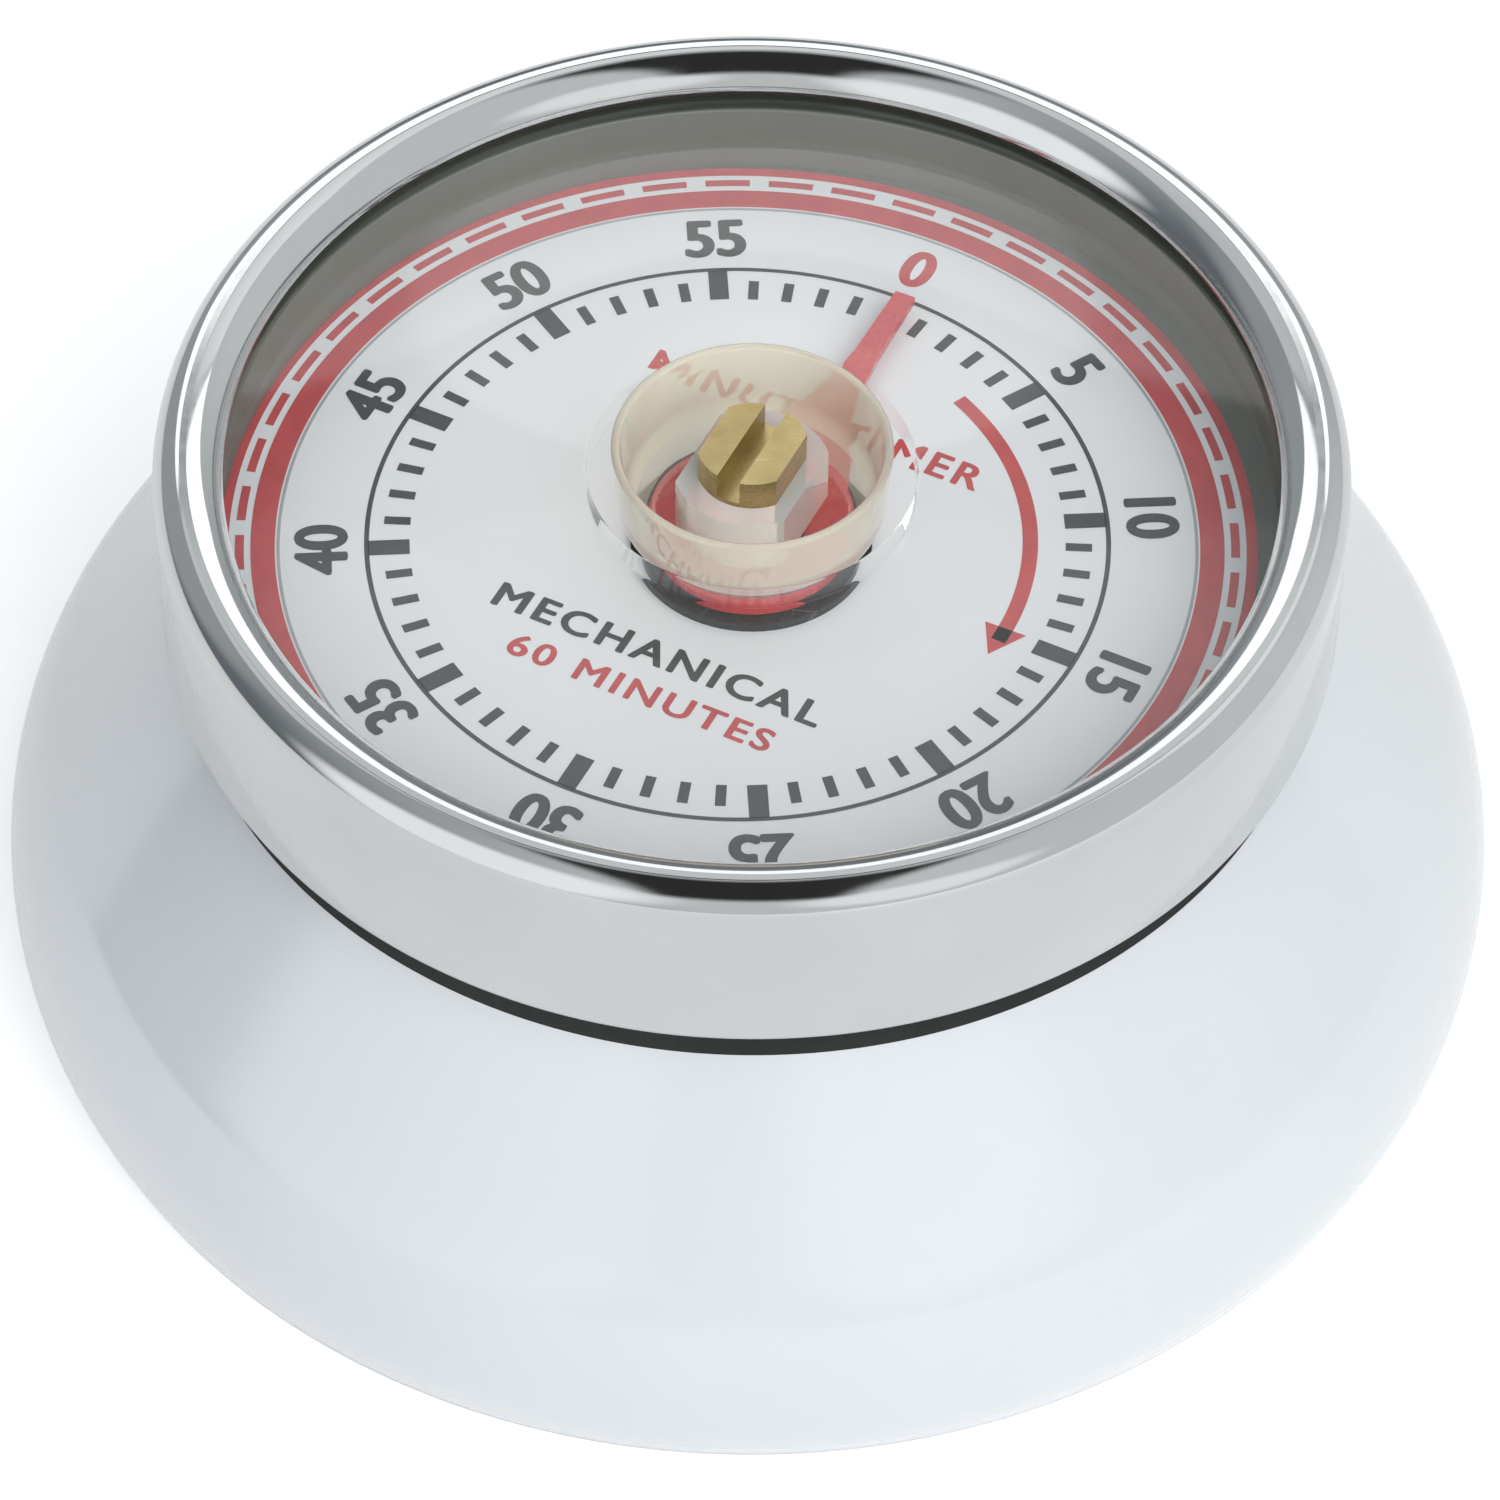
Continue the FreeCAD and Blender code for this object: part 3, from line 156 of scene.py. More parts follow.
zinc = finish("bright_zinc", (0.60, 0.62, 0.64), (0.50, 0.52, 0.55), rough=(0.28, 0.42), metallic=1.0,
              bloom=160.0, grain=1800.0, stretch=(1, 9, 1), scratches=0.5, bump=0.12)
coat_nodes(zinc, "rear_plate", "front_plate", "spring_barrel", "barrel_lid", "back_cover", "cover_brackets")

# Pillars, arbors, pinions, screws, click and hammer lever: free-cutting steel, turned and left bare
# with a film of oil, so darker and smoother than the zinc.

bare_steel = finish("oiled_steel", (0.50, 0.50, 0.50), (0.38, 0.38, 0.39), rough=(0.18, 0.32),
                    metallic=1.0, bloom=500.0, grain=5200.0, stretch=(1, 1, 12), scratches=0.3, bump=0.1)
coat_nodes(bare_steel, "pillars", "front_plate_screws", "rear_plate_screws", "cover_screws", "second_arbor",
           "third_arbor", "escape_arbor", "anchor_arbor", "hammer_arbor", "ratchet_wheel", "click",
           "click_screw", "stop_pin", "stop_lug", "pallet_pins", "hammer_lever", "bell_post", "bell_screw")

# Mainspring and click spring: hardened strip tempered blue, with straw tints where the heat was less.

blued = finish("blued_spring", (0.10, 0.16, 0.34), (0.22, 0.17, 0.20), rough=(0.16, 0.3), metallic=1.0,
               bloom=260.0, grain=3000.0, stretch=(1, 1, 14), scratches=0.4, bump=0.06)
coat_nodes(blued, "mainspring", "click_spring")

# Wheels, cam, anchor, balance, hammer head, dial bush and the main arbor: brass, with a brownish
# tarnish over a fine turned grain.

brass = finish("tarnished_brass", (0.54, 0.43, 0.21), (0.40, 0.31, 0.14), rough=(0.2, 0.38), metallic=1.0,
               bloom=420.0, grain=4200.0, stretch=(1, 1, 8), scratches=0.5, bump=0.12,
               worn=(0.86, 0.70, 0.40))
coat_nodes(brass, "great_wheel", "second_wheel", "third_wheel", "escape_wheel", "anchor", "balance_wheel",
           "alarm_cam", "hammer_head", "dial_bush", "main_arbor")

# Bell: a shallow pressed cup, nickelled, struck from inside the case.

bell_nickel = finish("nickelled_bell", (0.70, 0.68, 0.64), (0.60, 0.58, 0.54), rough=(0.1, 0.22),
                     metallic=1.0, bloom=200.0, grain=2600.0, scratches=0.4, bump=0.08)
coat_nodes(bell_nickel, "bell")

# Magnet: a sintered ferrite disc in the back cover's pocket, dull charcoal with a coarse ground grain
# and pale chipped specks.

ferrite = finish("ground_ferrite", (0.065, 0.063, 0.062), (0.035, 0.035, 0.036), rough=(0.45, 0.7),
                 bloom=220.0, grain=3600.0, scratches=0.8, bump=0.35, bump_depth=0.00004,
                 worn=(0.16, 0.16, 0.16))
coat_nodes(ferrite, "magnet")

# Case shell: one sheet spun to a flared skirt, a neck and a flange for the dial, then sprayed with a
# cool white gloss enamel that has a slight orange peel. The neck and the top of the flank under the
# bezel get a near-black colour: painted shade standing for the dark gap under the bezel.

FULL_TURN = 2 * math.pi


def rounded(corners, step=0.12):
    """A closed outline in mm from (radius, height, rounding) corners, each rounding an even arc."""
    points = []
    count = len(corners)
    for index, corner in enumerate(corners):
        here = Vector(corner[:2])
        size = corner[2] if len(corner) > 2 else 0
        before = Vector(corners[index - 1][:2]) - here
        after = Vector(corners[(index + 1) % count][:2]) - here
        half = before.angle(after) / 2
        if not size or half > math.pi / 2 - 1e-3:
            points.append(here)
            continue
        size = min(size, 0.999 * math.tan(half) * min(before.length, after.length))
        middle = here + (before.normalized() + after.normalized()).normalized() * size / math.sin(half)
        start = here + before.normalized() * size / math.tan(half) - middle
        turn = start.angle_signed(here + after.normalized() * size / math.tan(half) - middle)
        pieces = max(3, math.ceil(abs(turn) * size / step), math.ceil(abs(turn) / 0.12))
        for part in range(pieces + 1):
            angle = -turn * part / pieces
            points.append(middle + Matrix.Rotation(angle, 2) @ start)
    return points


SHARP_EDGE = math.radians(35)


def mesh_piece(name, body, material, mesh, replaces=()):
    """A finished piece: smooth where it curves, crisp at its edges, riding its body."""
    for face in mesh.polygons:
        face.use_smooth = True
    mesh.set_sharp_from_angle(angle=SHARP_EDGE)
    mesh.materials.append(material)
    piece = bpy.data.objects.new(name, mesh)
    bpy.context.scene.collection.objects.link(piece)
    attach(piece, body)
    if replaces:
        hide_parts(*replaces)
    return piece


def turned_mesh(name, outline, steps=256):
    """A closed outline of (radius, height) in mm, swept about the vertical axis."""
    mesh = bpy.data.meshes.new(name)
    vertices = [(r * MM * math.cos(FULL_TURN * step / steps), r * MM * math.sin(FULL_TURN * step / steps),
                 z * MM) for step in range(steps) for r, z in outline]
    count = len(outline)
    faces = [(step * count + index, (step + 1) % steps * count + index,
              (step + 1) % steps * count + (index + 1) % count, step * count + (index + 1) % count)
             for step in range(steps) for index in range(count)]
    mesh.from_pydata(vertices, [], faces)
    build = bmesh.new()
    build.from_mesh(mesh)
    bmesh.ops.recalc_face_normals(build, faces=build.faces)
    build.to_mesh(mesh)
    build.free()
    return mesh


def height_of(node, top=False):
    """The level of a CAD piece's underside or top, in mm."""
    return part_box(node)[1 if top else 0].z / MM


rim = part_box("case_shell")[1].x / MM
flange_top = height_of("case_shell", top=True)
flange_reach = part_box("dial_plate")[1].x / MM
neck_level = height_of("bezel_ring")
case_outline = rounded([
    (33.2, 0.0, 0.3), (34.2, 0.0, 0.35), (rim, 1.81, 9.4), (rim, 7.74, 11.0), (26.06, 18.65),
    (24.5, neck_level, 0.4), (24.5, flange_top - 0.8, 0.3), (flange_reach, flange_top - 0.8, 0.2),
    (flange_reach, flange_top, 0.15),
    (23.5, flange_top, 0.3), (23.5, neck_level - 0.4, 0.6), (31.73, 10.15, 2.0), (34.0, 7.4, 8.0),
    (34.0, 1.9, 6.0)])
enamel = finish("cool_white_enamel", (0.63, 0.66, 0.685), (0.605, 0.635, 0.665), rough=(0.13, 0.2),
                bloom=60.0, grain=700.0, scratches=0.12, bump=0.22, bump_depth=0.00003,
                Coat_Weight=1.0, Coat_Roughness=0.08, Coat_IOR=1.65)
case_piece = mesh_piece("case_enamelled", "case", enamel, turned_mesh("case_enamelled", case_outline),
                        replaces=["case_shell"])
# Painted shade: a near-black colour on the neck and the flank just under the bezel, standing for the shadow
# in the gap there.
painted_gap_shade = finish("painted_bezel_gap_shade", (0.012, 0.013, 0.013), (0.008, 0.009, 0.009), rough=(0.5, 0.65),
                bloom=400.0, grain=3000.0, scratches=0.2, bump=0.1)
case_piece.data.materials.append(painted_gap_shade)
# Faces above this height and outside the neck's radius take the painted shade.
SHADE_PAINTED_ABOVE = 18.6
for face in case_piece.data.polygons:
    if face.center.z > SHADE_PAINTED_ABOVE * MM and Vector(face.center[:2]).length > 24.0 * MM:
        face.material_index = 1

# Dial plate: a pressed steel disc sprayed satin white, and its print: screen printed inks a few
# hundredths thick. The scale is 60 minutes clockwise from the 0 at the top, printed off centre.

dial_white = finish("satin_dial_white", (0.84, 0.85, 0.875), (0.81, 0.82, 0.845), rough=(0.32, 0.45),
                    bloom=90.0, grain=1500.0, scratches=0.0, bump=0.03)
coat_nodes(dial_white, "dial_plate")
black_ink = finish("black_dial_ink", (0.030, 0.032, 0.036), (0.020, 0.022, 0.025), rough=(0.35, 0.5),
                   bloom=900.0, grain=6000.0, scratches=0.1, bump=0.03)
red_ink = finish("red_dial_ink", (0.60, 0.055, 0.060), (0.50, 0.040, 0.045), rough=(0.35, 0.5),
                 bloom=900.0, grain=6000.0, scratches=0.1, bump=0.03)
grey_ink = finish("grey_dial_ink", (0.42, 0.43, 0.45), (0.36, 0.37, 0.39), rough=(0.35, 0.5),
                  bloom=900.0, grain=6000.0, scratches=0.1, bump=0.03)
INK_LEVEL = height_of("dial_plate", top=True) + 0.015
PRINT_SHIFT = Vector((-0.74, 0.11))
PRINT_TURN = Matrix.Rotation(math.radians(-0.6), 2)


def clock(minutes):
    """The plan direction of a minute on the dial, in radians."""
    return math.pi / 2 - FULL_TURN * minutes / 60


def band(inner, outer, start=0.0, end=60.0):
    """A ring or part of one between two minutes, as faces of (x, y) points."""
    steps = max(4, math.ceil((end - start) * 6))
    rows = []
    for step in range(steps + 1):
        angle = clock(start + (end - start) * step / steps)
        rows.append([(r * math.cos(angle), r * math.sin(angle)) for r in (inner, outer)])
    return [[a[0], a[1], b[1], b[0]] for a, b in zip(rows, rows[1:])]


def tick(minute, inner, outer, width):
    """A radial stroke of an even width."""
    angle = clock(minute)
    along = Vector((math.cos(angle), math.sin(angle)))
    side = Vector((-along.y, along.x)) * width / 2
    return [[along * inner - side, along * inner + side, along * outer + side, along * outer - side]]


# Each copy of a letter lies a hair above the last, so that no two faces share a plane.
LAYER = 0.0008
COPIES = ((-1, 0), (1, 0), (0, -1), (0, 1), (-0.7, -0.7), (0.7, 0.7), (-0.7, 0.7), (0.7, -0.7))


def lettering(text, size, centre, turn=0.0, stretch=0.9, weight=0.1, width=None):
    """Faces of a line of plain lettering, centred on a spot and turned, thickened by close copies."""
    curve = bpy.data.curves.new("lettering", "FONT")
    curve.body = text
    curve.size = 1.0
    curve.space_character = 1.2 if width else 1.0
    curve.resolution_u = 6
    holder = bpy.data.objects.new("lettering", curve)
    flat = bpy.data.meshes.new_from_object(holder)
    low = Vector([min(v.co[axis] for v in flat.vertices) for axis in (0, 1)])
    high = Vector([max(v.co[axis] for v in flat.vertices) for axis in (0, 1)])
    scale = size / (high.y - low.y)
    place = Matrix.Rotation(turn, 2)
    if width:
        stretch = width / (scale * (high.x - low.x))
    faces = []
    for layer, (x, y) in enumerate(COPIES):
        shift = Vector((weight * x, weight * y * 0.6))
        for face in flat.polygons:
            corners = [Vector(flat.vertices[index].co[:2]) - (low + high) / 2 for index in face.vertices]
            corners = [Vector((spot.x * scale * stretch, spot.y * scale)) + shift for spot in corners]
            corners = [Vector(centre) + place @ spot for spot in corners]
            faces.append([(spot.x, spot.y, layer * LAYER) for spot in corners])
    bpy.data.objects.remove(holder)
    bpy.data.meshes.remove(flat)
    bpy.data.curves.remove(curve)
    return faces


def print_piece(name, faces, ink):
    """Ink laid on the dial."""
    mesh = bpy.data.meshes.new(name)
    vertices = []
    numbers = []
    for face in faces:
        numbers.append(range(len(vertices), len(vertices) + len(face)))
        for spot in face:
            place = PRINT_TURN @ Vector(spot[:2]) + PRINT_SHIFT
            vertices.append((*(place * MM), (INK_LEVEL + (spot[2] if len(spot) > 2 else 0)) * MM))
    mesh.from_pydata(vertices, [], [list(row) for row in numbers])
    build = bmesh.new()
    build.from_mesh(mesh)
    for face in build.faces:
        face.normal_update()
        if face.normal.z < 0:
            face.normal_flip()
    build.to_mesh(mesh)
    build.free()
    return mesh_piece(name, "case", ink, mesh)


black_faces = band(16.74, 16.96)
for minute in range(1, 60):
    if minute % 5:
        black_faces += tick(minute, 14.9, 16.1, 0.48)
    else:
        black_faces += tick(minute, 14.9, 16.8, 0.9)
for minute in range(5, 60, 5):
    angle = clock(minute)
    spot = (18.9 * math.cos(angle), 18.9 * math.sin(angle))
    black_faces += lettering(str(minute), 2.3, spot, angle - math.pi / 2, weight=0.13)
black_faces += lettering("MECHANICAL", 1.4, (0.1, -8.1), weight=0.07, width=16.2)
print_piece("dial_print_black", black_faces, black_ink)

red_faces = band(21.0, 22.1) + band(23.1, 23.6)
DASHES = 47
for dash in range(DASHES):
    start = 60 * dash / DASHES
    red_faces += band(22.4, 22.8, start, start + 60 / DASHES * 0.7)
red_faces += lettering("0", 2.3, (0.0, 18.9), weight=0.13)
red_faces += lettering("MINUTE TIMER", 1.45, (0.0, 8.0), weight=0.06, width=16.8)
red_faces += lettering("60 MINUTES", 1.25, (0.4, -10.45), weight=0.055, width=13.0)
ARROW_END = 92 / 6
red_faces += band(12.95, 13.65, 23.7 / 6, ARROW_END)
arrow_head = [(radius * math.cos(clock(minute)), radius * math.sin(clock(minute)))
              for radius, minute in ((12.3, 88.5 / 6), (13.3, 96 / 6), (14.3, 88.5 / 6))]
red_faces.append(arrow_head)
print_piece("dial_print_red", red_faces, red_ink)
print_piece("dial_print_grey", band(20.78, 20.92), grey_ink)

# Dial nut: a low turned collar, chemically blackened, that clamps the dial on the movement's bush.

blacked = finish("blackened_steel", (0.028, 0.028, 0.030), (0.016, 0.016, 0.018), rough=(0.25, 0.4),
                 metallic=0.6, bloom=600.0, grain=4000.0, scratches=0.6, bump=0.1,
                 worn=(0.25, 0.25, 0.26))
coat_nodes(blacked, "dial_nut")

# Pointer: stamped from sheet and sprayed signal red, its arm flaring into the hub disc that the knob
# stands on.

signal_red = finish("signal_red_paint", (0.62, 0.045, 0.050), (0.54, 0.035, 0.042), rough=(0.2, 0.32),
                    bloom=300.0, grain=1800.0, scratches=0.15, bump=0.12, worn=(0.72, 0.20, 0.20),
                    Coat_Weight=0.3, Coat_Roughness=0.1)
coat_nodes(signal_red, "pointer")

# Knob: one acrylic moulding, a thin cup with a boss in it that takes the arbor's flatted end. Its floor
# is clear, its wall yellowed and hazed, and its boss milky.


def clear(name, tint, ior, haze, bump=0.02, size=90.0, milk=0.0):
    """A clear or milky moulding or pane. Light reaches what is behind it, so it throws no solid shadow."""
    material = bpy.data.materials.new(name)
    material.use_nodes = True
    tree = material.node_tree
    shader = tree.nodes["Principled BSDF"]
    shader.inputs["Base Color"].default_value = (*tint, 1)
    shader.inputs["IOR"].default_value = ior
    shader.inputs["Transmission Weight"].default_value = 1.0 - milk
    surface = tree.nodes.new("ShaderNodeGroup")
    surface.node_tree = HANDLED
    surface.inputs["Bloom Size"].default_value = size
    surface.inputs["Grain Size"].default_value = 900.0
    surface.inputs["Scratches"].default_value = 0.2
    shader.inputs["Coat Weight"].default_value = 1.0
    roughness = add_node(tree, "MapRange", Value=surface.outputs["Bloom"], From_Min=0.45, From_Max=0.8,
                         To_Min=haze[0], To_Max=haze[1])
    tree.links.new(roughness.outputs[0], shader.inputs["Roughness"])
    relief = add_node(tree, "Bump", Strength=bump, Distance=0.00002, Height=surface.outputs["Height"])
    tree.links.new(relief.outputs[0], shader.inputs["Normal"])
    path = add_node(tree, "LightPath")
    passes = add_node(tree, "Math", {"operation": "MAXIMUM"}, _0=path.outputs["Is Shadow Ray"],
                      _1=path.outputs["Is Diffuse Ray"])
    through = add_node(tree, "BsdfTransparent", Color=(*[0.5 + 0.5 * part for part in tint], 1))
    mixed = add_node(tree, "MixShader", _0=passes.outputs[0], _1=shader.outputs[0], _2=through.outputs[0])
    tree.links.new(mixed.outputs[0], tree.nodes["Material Output"].inputs["Surface"])
    return material


def combined(name, base, tools):
    """One mesh from a base and the shapes added to it or cut from it, each (mesh, operation)."""
    holder = bpy.data.objects.new(name, base)
    bpy.context.scene.collection.objects.link(holder)
    helpers = []
    for mesh, operation in tools:
        helper = bpy.data.objects.new("tool", mesh)
        bpy.context.scene.collection.objects.link(helper)
        change = holder.modifiers.new(operation, "BOOLEAN")
        change.operation = operation
        change.object = helper
        change.solver = "EXACT"
        helpers.append(helper)
    bpy.context.view_layer.update()
    result = bpy.data.meshes.new_from_object(holder.evaluated_get(bpy.context.evaluated_depsgraph_get()))
    result.name = name
    for used in (holder, *helpers):
        bpy.data.objects.remove(used)
    return result


def flatted_bar(radius, width, bottom, top, steps=160):
    """A round bar with two flats along Y, in mm."""
    ring = []
    for step in range(steps):
        angle = FULL_TURN * step / steps
        ring.append((max(-width / 2, min(width / 2, radius * math.cos(angle))), radius * math.sin(angle)))
    mesh = bpy.data.meshes.new("bar")
    vertices = [(x * MM, y * MM, z * MM) for z in (bottom, top) for x, y in ring]
    sides = [(i, (i + 1) % steps, steps + (i + 1) % steps, steps + i) for i in range(steps)]
    mesh.from_pydata(vertices, [], [*sides, list(range(steps))[::-1], list(range(steps, 2 * steps))])
    return mesh


knob_foot = height_of("knob")
knob_top = height_of("knob", top=True)
knob_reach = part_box("knob")[1].x / MM
cup_outline = rounded([
    (0.0, knob_foot), (knob_reach - 1.45, knob_foot, 0.6), (knob_reach - 0.3, knob_foot + 1.9, 1.6),
    (knob_reach, knob_top, 0.19), (knob_reach - 0.42, knob_top, 0.19),
    (knob_reach - 0.72, knob_foot + 2.3, 1.6), (knob_reach - 1.9, knob_foot + 1.2, 0.5),
    (0.0, knob_foot + 1.2)])


def spun_solid(name, outline, steps=224):
    """A solid of revolution whose outline starts and ends on the axis, in mm."""
    mesh = bpy.data.meshes.new(name)
    inner = outline[1:-1]
    count = len(inner)
    vertices = [(r * MM * math.cos(FULL_TURN * step / steps), r * MM * math.sin(FULL_TURN * step / steps),
                 z * MM) for step in range(steps) for r, z in inner]
    vertices += [(0, 0, outline[0][1] * MM), (0, 0, outline[-1][1] * MM)]
    faces = []
    for step in range(steps):
        here, there = step * count, (step + 1) % steps * count
        faces += [(here + i, there + i, there + i + 1, here + i + 1) for i in range(count - 1)]
        faces += [(len(vertices) - 2, there, here), (len(vertices) - 1, here + count - 1, there + count - 1)]
    mesh.from_pydata(vertices, [], faces)
    build = bmesh.new()
    build.from_mesh(mesh)
    bmesh.ops.recalc_face_normals(build, faces=build.faces)
    build.to_mesh(mesh)
    build.free()
    return mesh


BOSS_REACH = 3.55
boss = flatted_bar(BOSS_REACH, 5.4, knob_foot + 0.9, knob_foot + 4.0)
bore = flatted_bar(2.5, 3.9, knob_foot - 0.5, knob_foot + 4.3)
knob_mesh = combined("knob_clear", spun_solid("knob_cup", cup_outline),
                     [(boss, "UNION"), (bore, "DIFFERENCE")])
acrylic = clear("clear_acrylic", (0.985, 0.975, 0.955), 1.2, (0.0, 0.05), milk=0.04)
knob_piece = mesh_piece("knob_clear", "winding_arbor", acrylic, knob_mesh,
                        replaces=["knob"])
knob_piece.data.materials.append(clear("milky_boss", (0.96, 0.94, 0.92), 1.2, (0.05, 0.2), milk=0.5))
knob_piece.data.materials.append(clear("yellowed_wall", (0.90, 0.87, 0.74), 1.25, (0.02, 0.12), milk=0.42))
for face in knob_piece.data.polygons:
    reach = Vector(face.center[:2]).length / MM
    if reach < BOSS_REACH + 0.05 and face.center.z > (knob_foot + 1.3) * MM:
        face.material_index = 1
    elif reach > knob_reach - 1.2:
        face.material_index = 2

# Inner wall ring: a moulded grey-green spacer between dial and lens, satin, with fine draw marks down
# its face. The dial's margin outside the print is the same grey-green.

ring_foot = height_of("inner_wall_ring")
ring_top = height_of("inner_wall_ring", top=True)
ring_bore = 24.15
wall_grey = finish("grey_green_moulding", (0.115, 0.127, 0.100), (0.092, 0.102, 0.080), rough=(0.35, 0.5),
                   bloom=120.0, grain=1500.0, stretch=(6, 6, 1), scratches=0.1, bump=0.03)
wall_outline = rounded([(ring_bore, ring_foot, 0.1), (flange_reach, ring_foot, 0.1),
                        (flange_reach, ring_top, 0.1), (ring_bore, ring_top, 0.15)])
mesh_piece("inner_wall_moulded", "case", wall_grey, turned_mesh("inner_wall_moulded", wall_outline),
           replaces=["inner_wall_ring"])
margin_reach = ring_bore + 0.8
margin_faces = []
for inner_a, _, _, inner_b in band(23.6, margin_reach):
    edge_a, edge_b = (Vector(spot).normalized() * margin_reach - PRINT_SHIFT for spot in (inner_a, inner_b))
    margin_faces.append([inner_a, tuple(edge_a), tuple(edge_b), inner_b])
print_piece("dial_margin", margin_faces, wall_grey)

# Lens: a flat clear pane on top of the wall ring, with a round hole that the knob stands in.

lens_foot = height_of("lens")
lens_top = height_of("lens", top=True)
lens_hole = 7.4
pane = clear("clear_pane", (0.985, 0.995, 0.99), 1.03, (0.0, 0.012), bump=0.004, size=40.0)
lens_outline = rounded([(lens_hole, lens_foot, 0.12), (flange_reach, lens_foot, 0.1),
                        (flange_reach, lens_top, 0.1), (lens_hole, lens_top, 0.18)])
mesh_piece("lens_pane", "case", pane, turned_mesh("lens_pane", lens_outline),
           replaces=["lens"])

# Gasket: a thin dark rubber washer, seen as a line inside the bezel's lip.

rubber = finish("dark_rubber", (0.030, 0.026, 0.024), (0.020, 0.018, 0.017), rough=(0.5, 0.75),
                bloom=400.0, grain=4000.0, scratches=0.0, bump=0.3)
coat_nodes(rubber, "lens_gasket")

# Bezel: brass sheet rolled over the case's flange, polished and chromed. The crown turns smoothly in
# to a lip that holds the gasket on the lens, and fine buffing lines run round it.

bezel_top = height_of("bezel_ring", top=True)
bezel_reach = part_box("bezel_ring")[1].x / MM
lip_foot = height_of("lens_gasket", top=True)
chrome = finish("polished_chrome", (0.64, 0.655, 0.655), (0.59, 0.605, 0.605), rough=(0.05, 0.11),
                metallic=1.0, bloom=80.0, grain=900.0, scratches=0.15, bump=0.03,
                bump_depth=0.00001)
bezel_outline = rounded([
    (bezel_reach - 0.8, neck_level, 0.1), (bezel_reach, neck_level, 0.3), (bezel_reach, bezel_top, 1.6),
    (24.3, bezel_top, 2.0), (23.65, lip_foot + 0.3, 0.3), (23.65, lip_foot, 0.08), (24.4, lip_foot, 0.08),
    (24.75, bezel_top - 0.8, 0.6), (bezel_reach - 0.8, bezel_top - 0.8, 0.8)])
mesh_piece("bezel_chromed", "case", chrome, turned_mesh("bezel_chromed", bezel_outline, steps=320),
           replaces=["bezel_ring"])

# Floor and studio: a pale matt table that glows a little, a tent round it whose cloth is darker on one
# side and has a dark slit overhead, two soft boxes behind that show in the gloss, and one key light.

floor_mesh = bpy.data.meshes.new("floor")
FLOOR_REACH = 3.0
floor_mesh.from_pydata([(x * FLOOR_REACH, y * FLOOR_REACH, -0.00002) for x, y in
                        ((-1, -1), (1, -1), (1, 1), (-1, 1))], [], [(0, 1, 2, 3)])
floor = bpy.data.objects.new("floor", floor_mesh)
floor_mesh.materials.append(finish("pale_table", (0.93, 0.93, 0.93), (0.92, 0.92, 0.92),
                                   rough=(0.6, 0.8), bloom=8.0, grain=300.0, scratches=0.0, bump=0.02))
table = floor_mesh.materials[0].node_tree
path = add_node(table, "LightPath")
mirrored_glow = add_node(table, "Math", {"operation": "MULTIPLY"}, _0=path.outputs["Is Glossy Ray"], _1=0.1)
glow = add_node(table, "Math", {"operation": "MULTIPLY_ADD"}, _0=path.outputs["Is Camera Ray"], _1=0.35,
                _2=mirrored_glow.outputs[0])
table.links.new(glow.outputs[0], table.nodes["Principled BSDF"].inputs["Emission Strength"])
table.nodes["Principled BSDF"].inputs["Emission Color"].default_value = (1, 1, 1, 1)
bpy.context.scene.collection.objects.link(floor)

CAMERA_AZIMUTH = 25.58
BACK_AZIMUTH = CAMERA_AZIMUTH + 180
TARGET = Vector((-2.663, 5.669, 1.0)) * MM


def towards(azimuth, elevation):
    """The direction from the timer to a place in the studio, from degrees round and up."""
    a, e = math.radians(azimuth), math.radians(elevation)
    return Vector((math.sin(a) * math.cos(e), -math.cos(a) * math.cos(e), math.sin(e)))


world = bpy.data.worlds.new("studio")
world.use_nodes = True
bpy.context.scene.world = world
sky = world.node_tree
tent = sky.nodes["Background"]
direction = add_node(sky, "TexCoord").outputs["Generated"]


def facing(azimuth, elevation, low, high):
    """1 where the tent lies towards a direction, 0 away from it, with a soft edge between two cosines."""
    along = add_node(sky, "VectorMath", {"operation": "DOT_PRODUCT"}, _0=direction,
                     _1=tuple(towards(azimuth, elevation)))
    return add_node(sky, "MapRange", {"interpolation_type": "SMOOTHSTEP"}, Value=along.outputs["Value"],
                    From_Min=low, From_Max=high).outputs[0]


def laid_over(under, mask, colour):
    """Tent cloth of another tone over what is there."""
    layer = add_node(sky, "Mix", {"data_type": "RGBA"}, _0=mask)
    if isinstance(under, bpy.types.NodeSocket):
        sky.links.new(under, layer.inputs["A"])
    else:
        layer.inputs["A"].default_value = (*under, 1)
    layer.inputs["B"].default_value = (*colour, 1)
    return layer.outputs["Result"]


aside = add_node(sky, "VectorMath", {"operation": "DOT_PRODUCT"}, _0=direction,
                 _1=tuple(towards(CAMERA_AZIMUTH + 90, 0)))
apart = add_node(sky, "Math", {"operation": "ABSOLUTE"}, _0=aside.outputs["Value"])
slit = add_node(sky, "MapRange", {"interpolation_type": "SMOOTHSTEP"}, Value=apart.outputs[0],
                From_Min=0.28, From_Max=0.18)
overhead = add_node(sky, "Math", {"operation": "MULTIPLY"}, _0=facing(CAMERA_AZIMUTH, 0, -0.28, -0.12),
                    _1=facing(CAMERA_AZIMUTH, 90, 0.55, 0.75))
gap = add_node(sky, "Math", {"operation": "MULTIPLY"}, _0=slit.outputs[0], _1=overhead.outputs[0])
cloth = laid_over((0.17, 0.19, 0.21), facing(80.0, 20.0, -0.75, 0.6), (0.74, 0.76, 0.77))
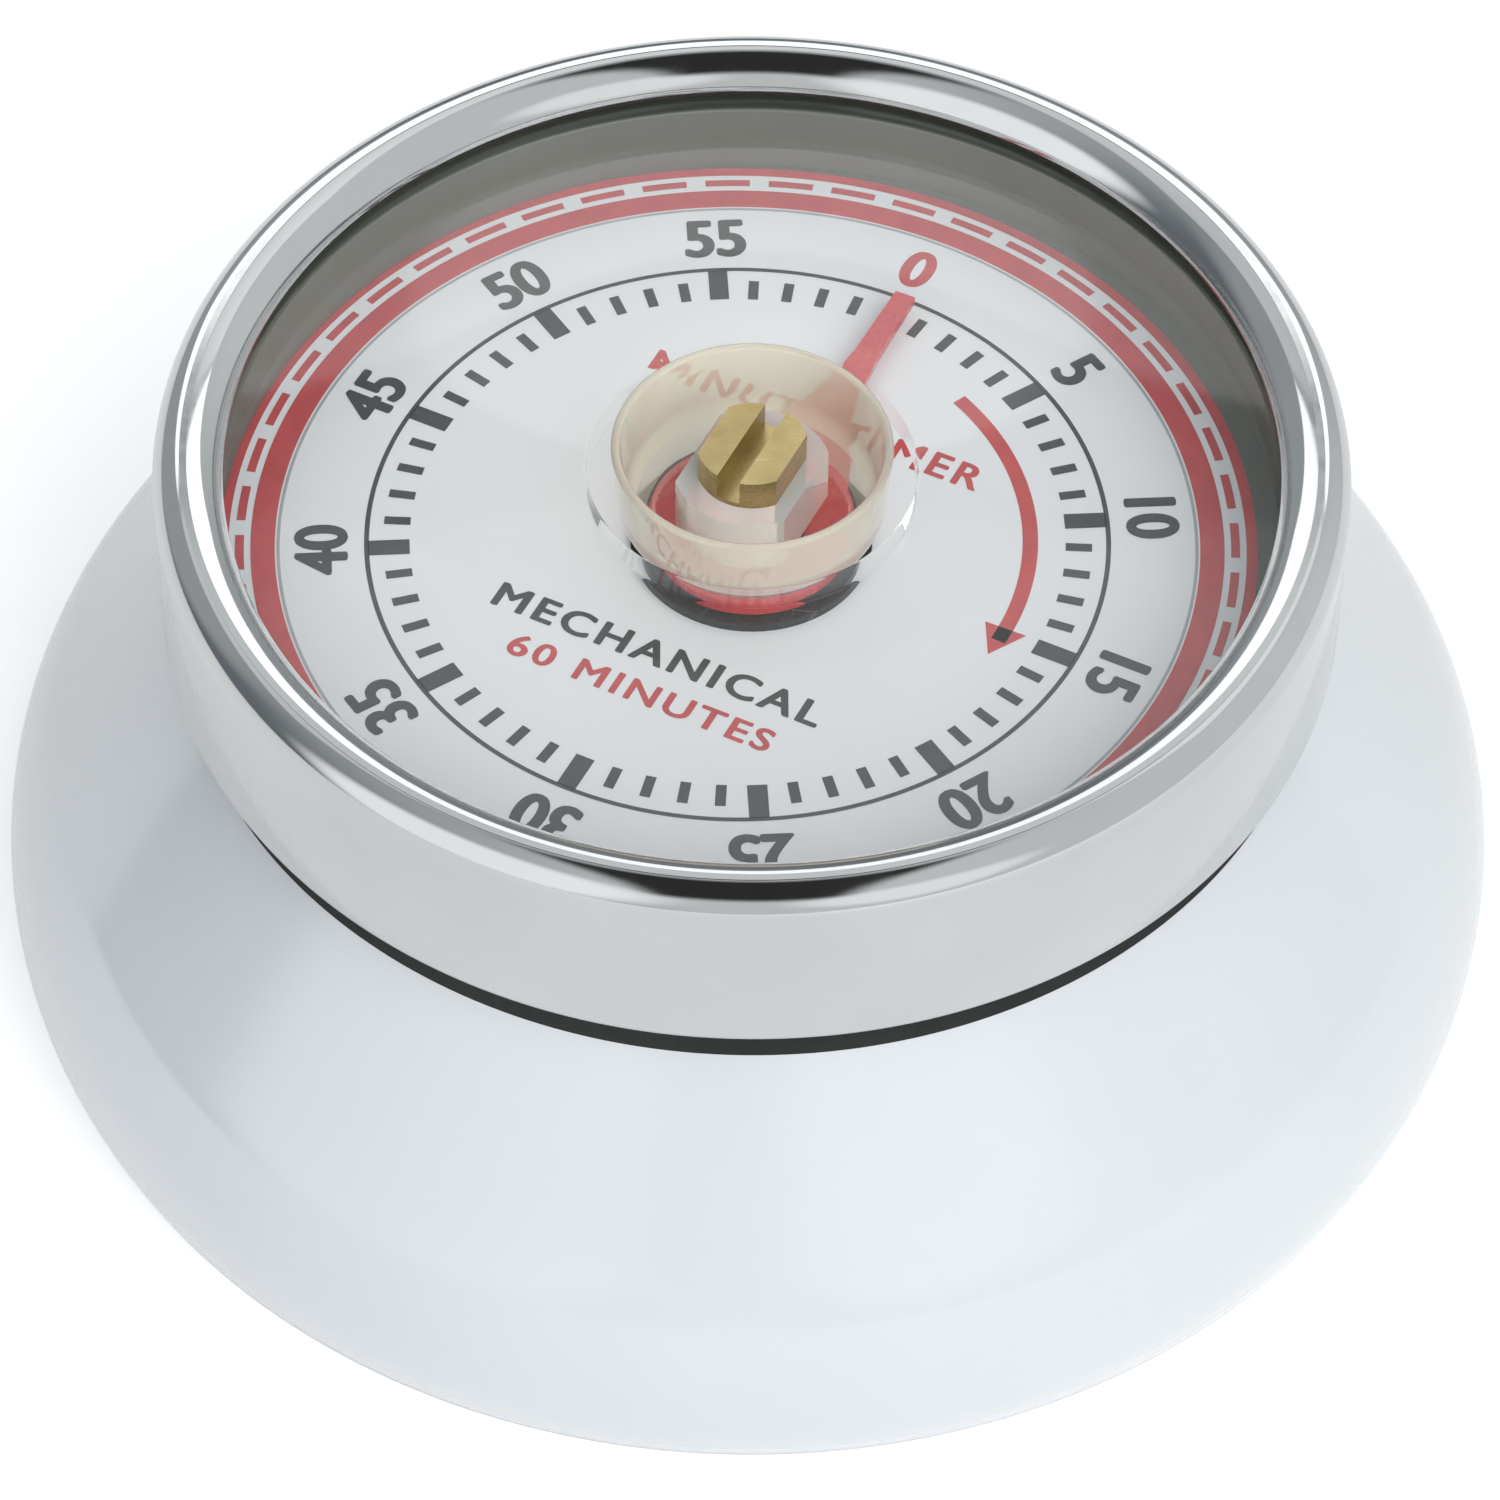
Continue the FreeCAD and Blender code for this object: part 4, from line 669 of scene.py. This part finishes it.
cloth = laid_over(cloth, facing(-21.0, 22.0, 0.81, 0.93), (1.2, 1.22, 1.24))
cloth = laid_over(cloth, facing(54.0, 26.0, 0.92, 0.98), (1.08, 1.1, 1.12))
cloth = laid_over(cloth, facing(250.0, 25.0, 0.80, 0.93), (0.40, 0.42, 0.44))
cloth = laid_over(cloth, gap.outputs[0], (0.035, 0.036, 0.034))
sky.links.new(cloth, tent.inputs["Color"])


def soft_box(name, azimuth, elevation, distance, width, height, radiance, mirrored):
    """A flat soft light that faces the timer, either seen only in its gloss or only lighting it."""
    lamp = bpy.data.lights.new(name, "AREA")
    lamp.shape = "RECTANGLE"
    lamp.size = width
    lamp.size_y = height
    lamp.energy = radiance * math.pi * width * height
    box = bpy.data.objects.new(name, lamp)
    out = towards(azimuth, elevation)
    box.location = TARGET + out * distance
    box.rotation_euler = out.to_track_quat("Z", "Y").to_euler()
    box.visible_glossy = mirrored
    box.visible_diffuse = not mirrored
    bpy.context.scene.collection.objects.link(box)


soft_box("back_box_low", BACK_AZIMUTH, 34.2, 1.0, 1.2, 0.46, 1.25, mirrored=True)
soft_box("back_box_high", BACK_AZIMUTH, 61.1, 1.0, 1.2, 0.42, 0.35, mirrored=True)
soft_box("key", 55.0, 42.0, 1.4, 1.5, 1.5, 1.9, mirrored=False)

camera_data = bpy.data.cameras.new("camera")
camera_data.lens = 153.7
camera_data.sensor_width = 36.0
camera_data.clip_start = 0.01
camera_data.clip_end = 20.0
camera = bpy.data.objects.new("camera", camera_data)
bpy.context.scene.collection.objects.link(camera)
eye = Vector((84.41, -176.23, 238.53)) * MM
forward = (TARGET - eye).normalized()
level = forward.cross(Vector((0, 0, 1))).normalized()
upright = level.cross(forward)
ROLL = math.radians(0.638)
right = math.cos(ROLL) * level + math.sin(ROLL) * upright
up = right.cross(forward)
frame_axes = Matrix((right, up, -forward)).transposed().to_4x4()
camera.matrix_world = Matrix.Translation(eye) @ frame_axes
bpy.context.scene.camera = camera
bpy.context.scene.view_settings.view_transform = "Standard"
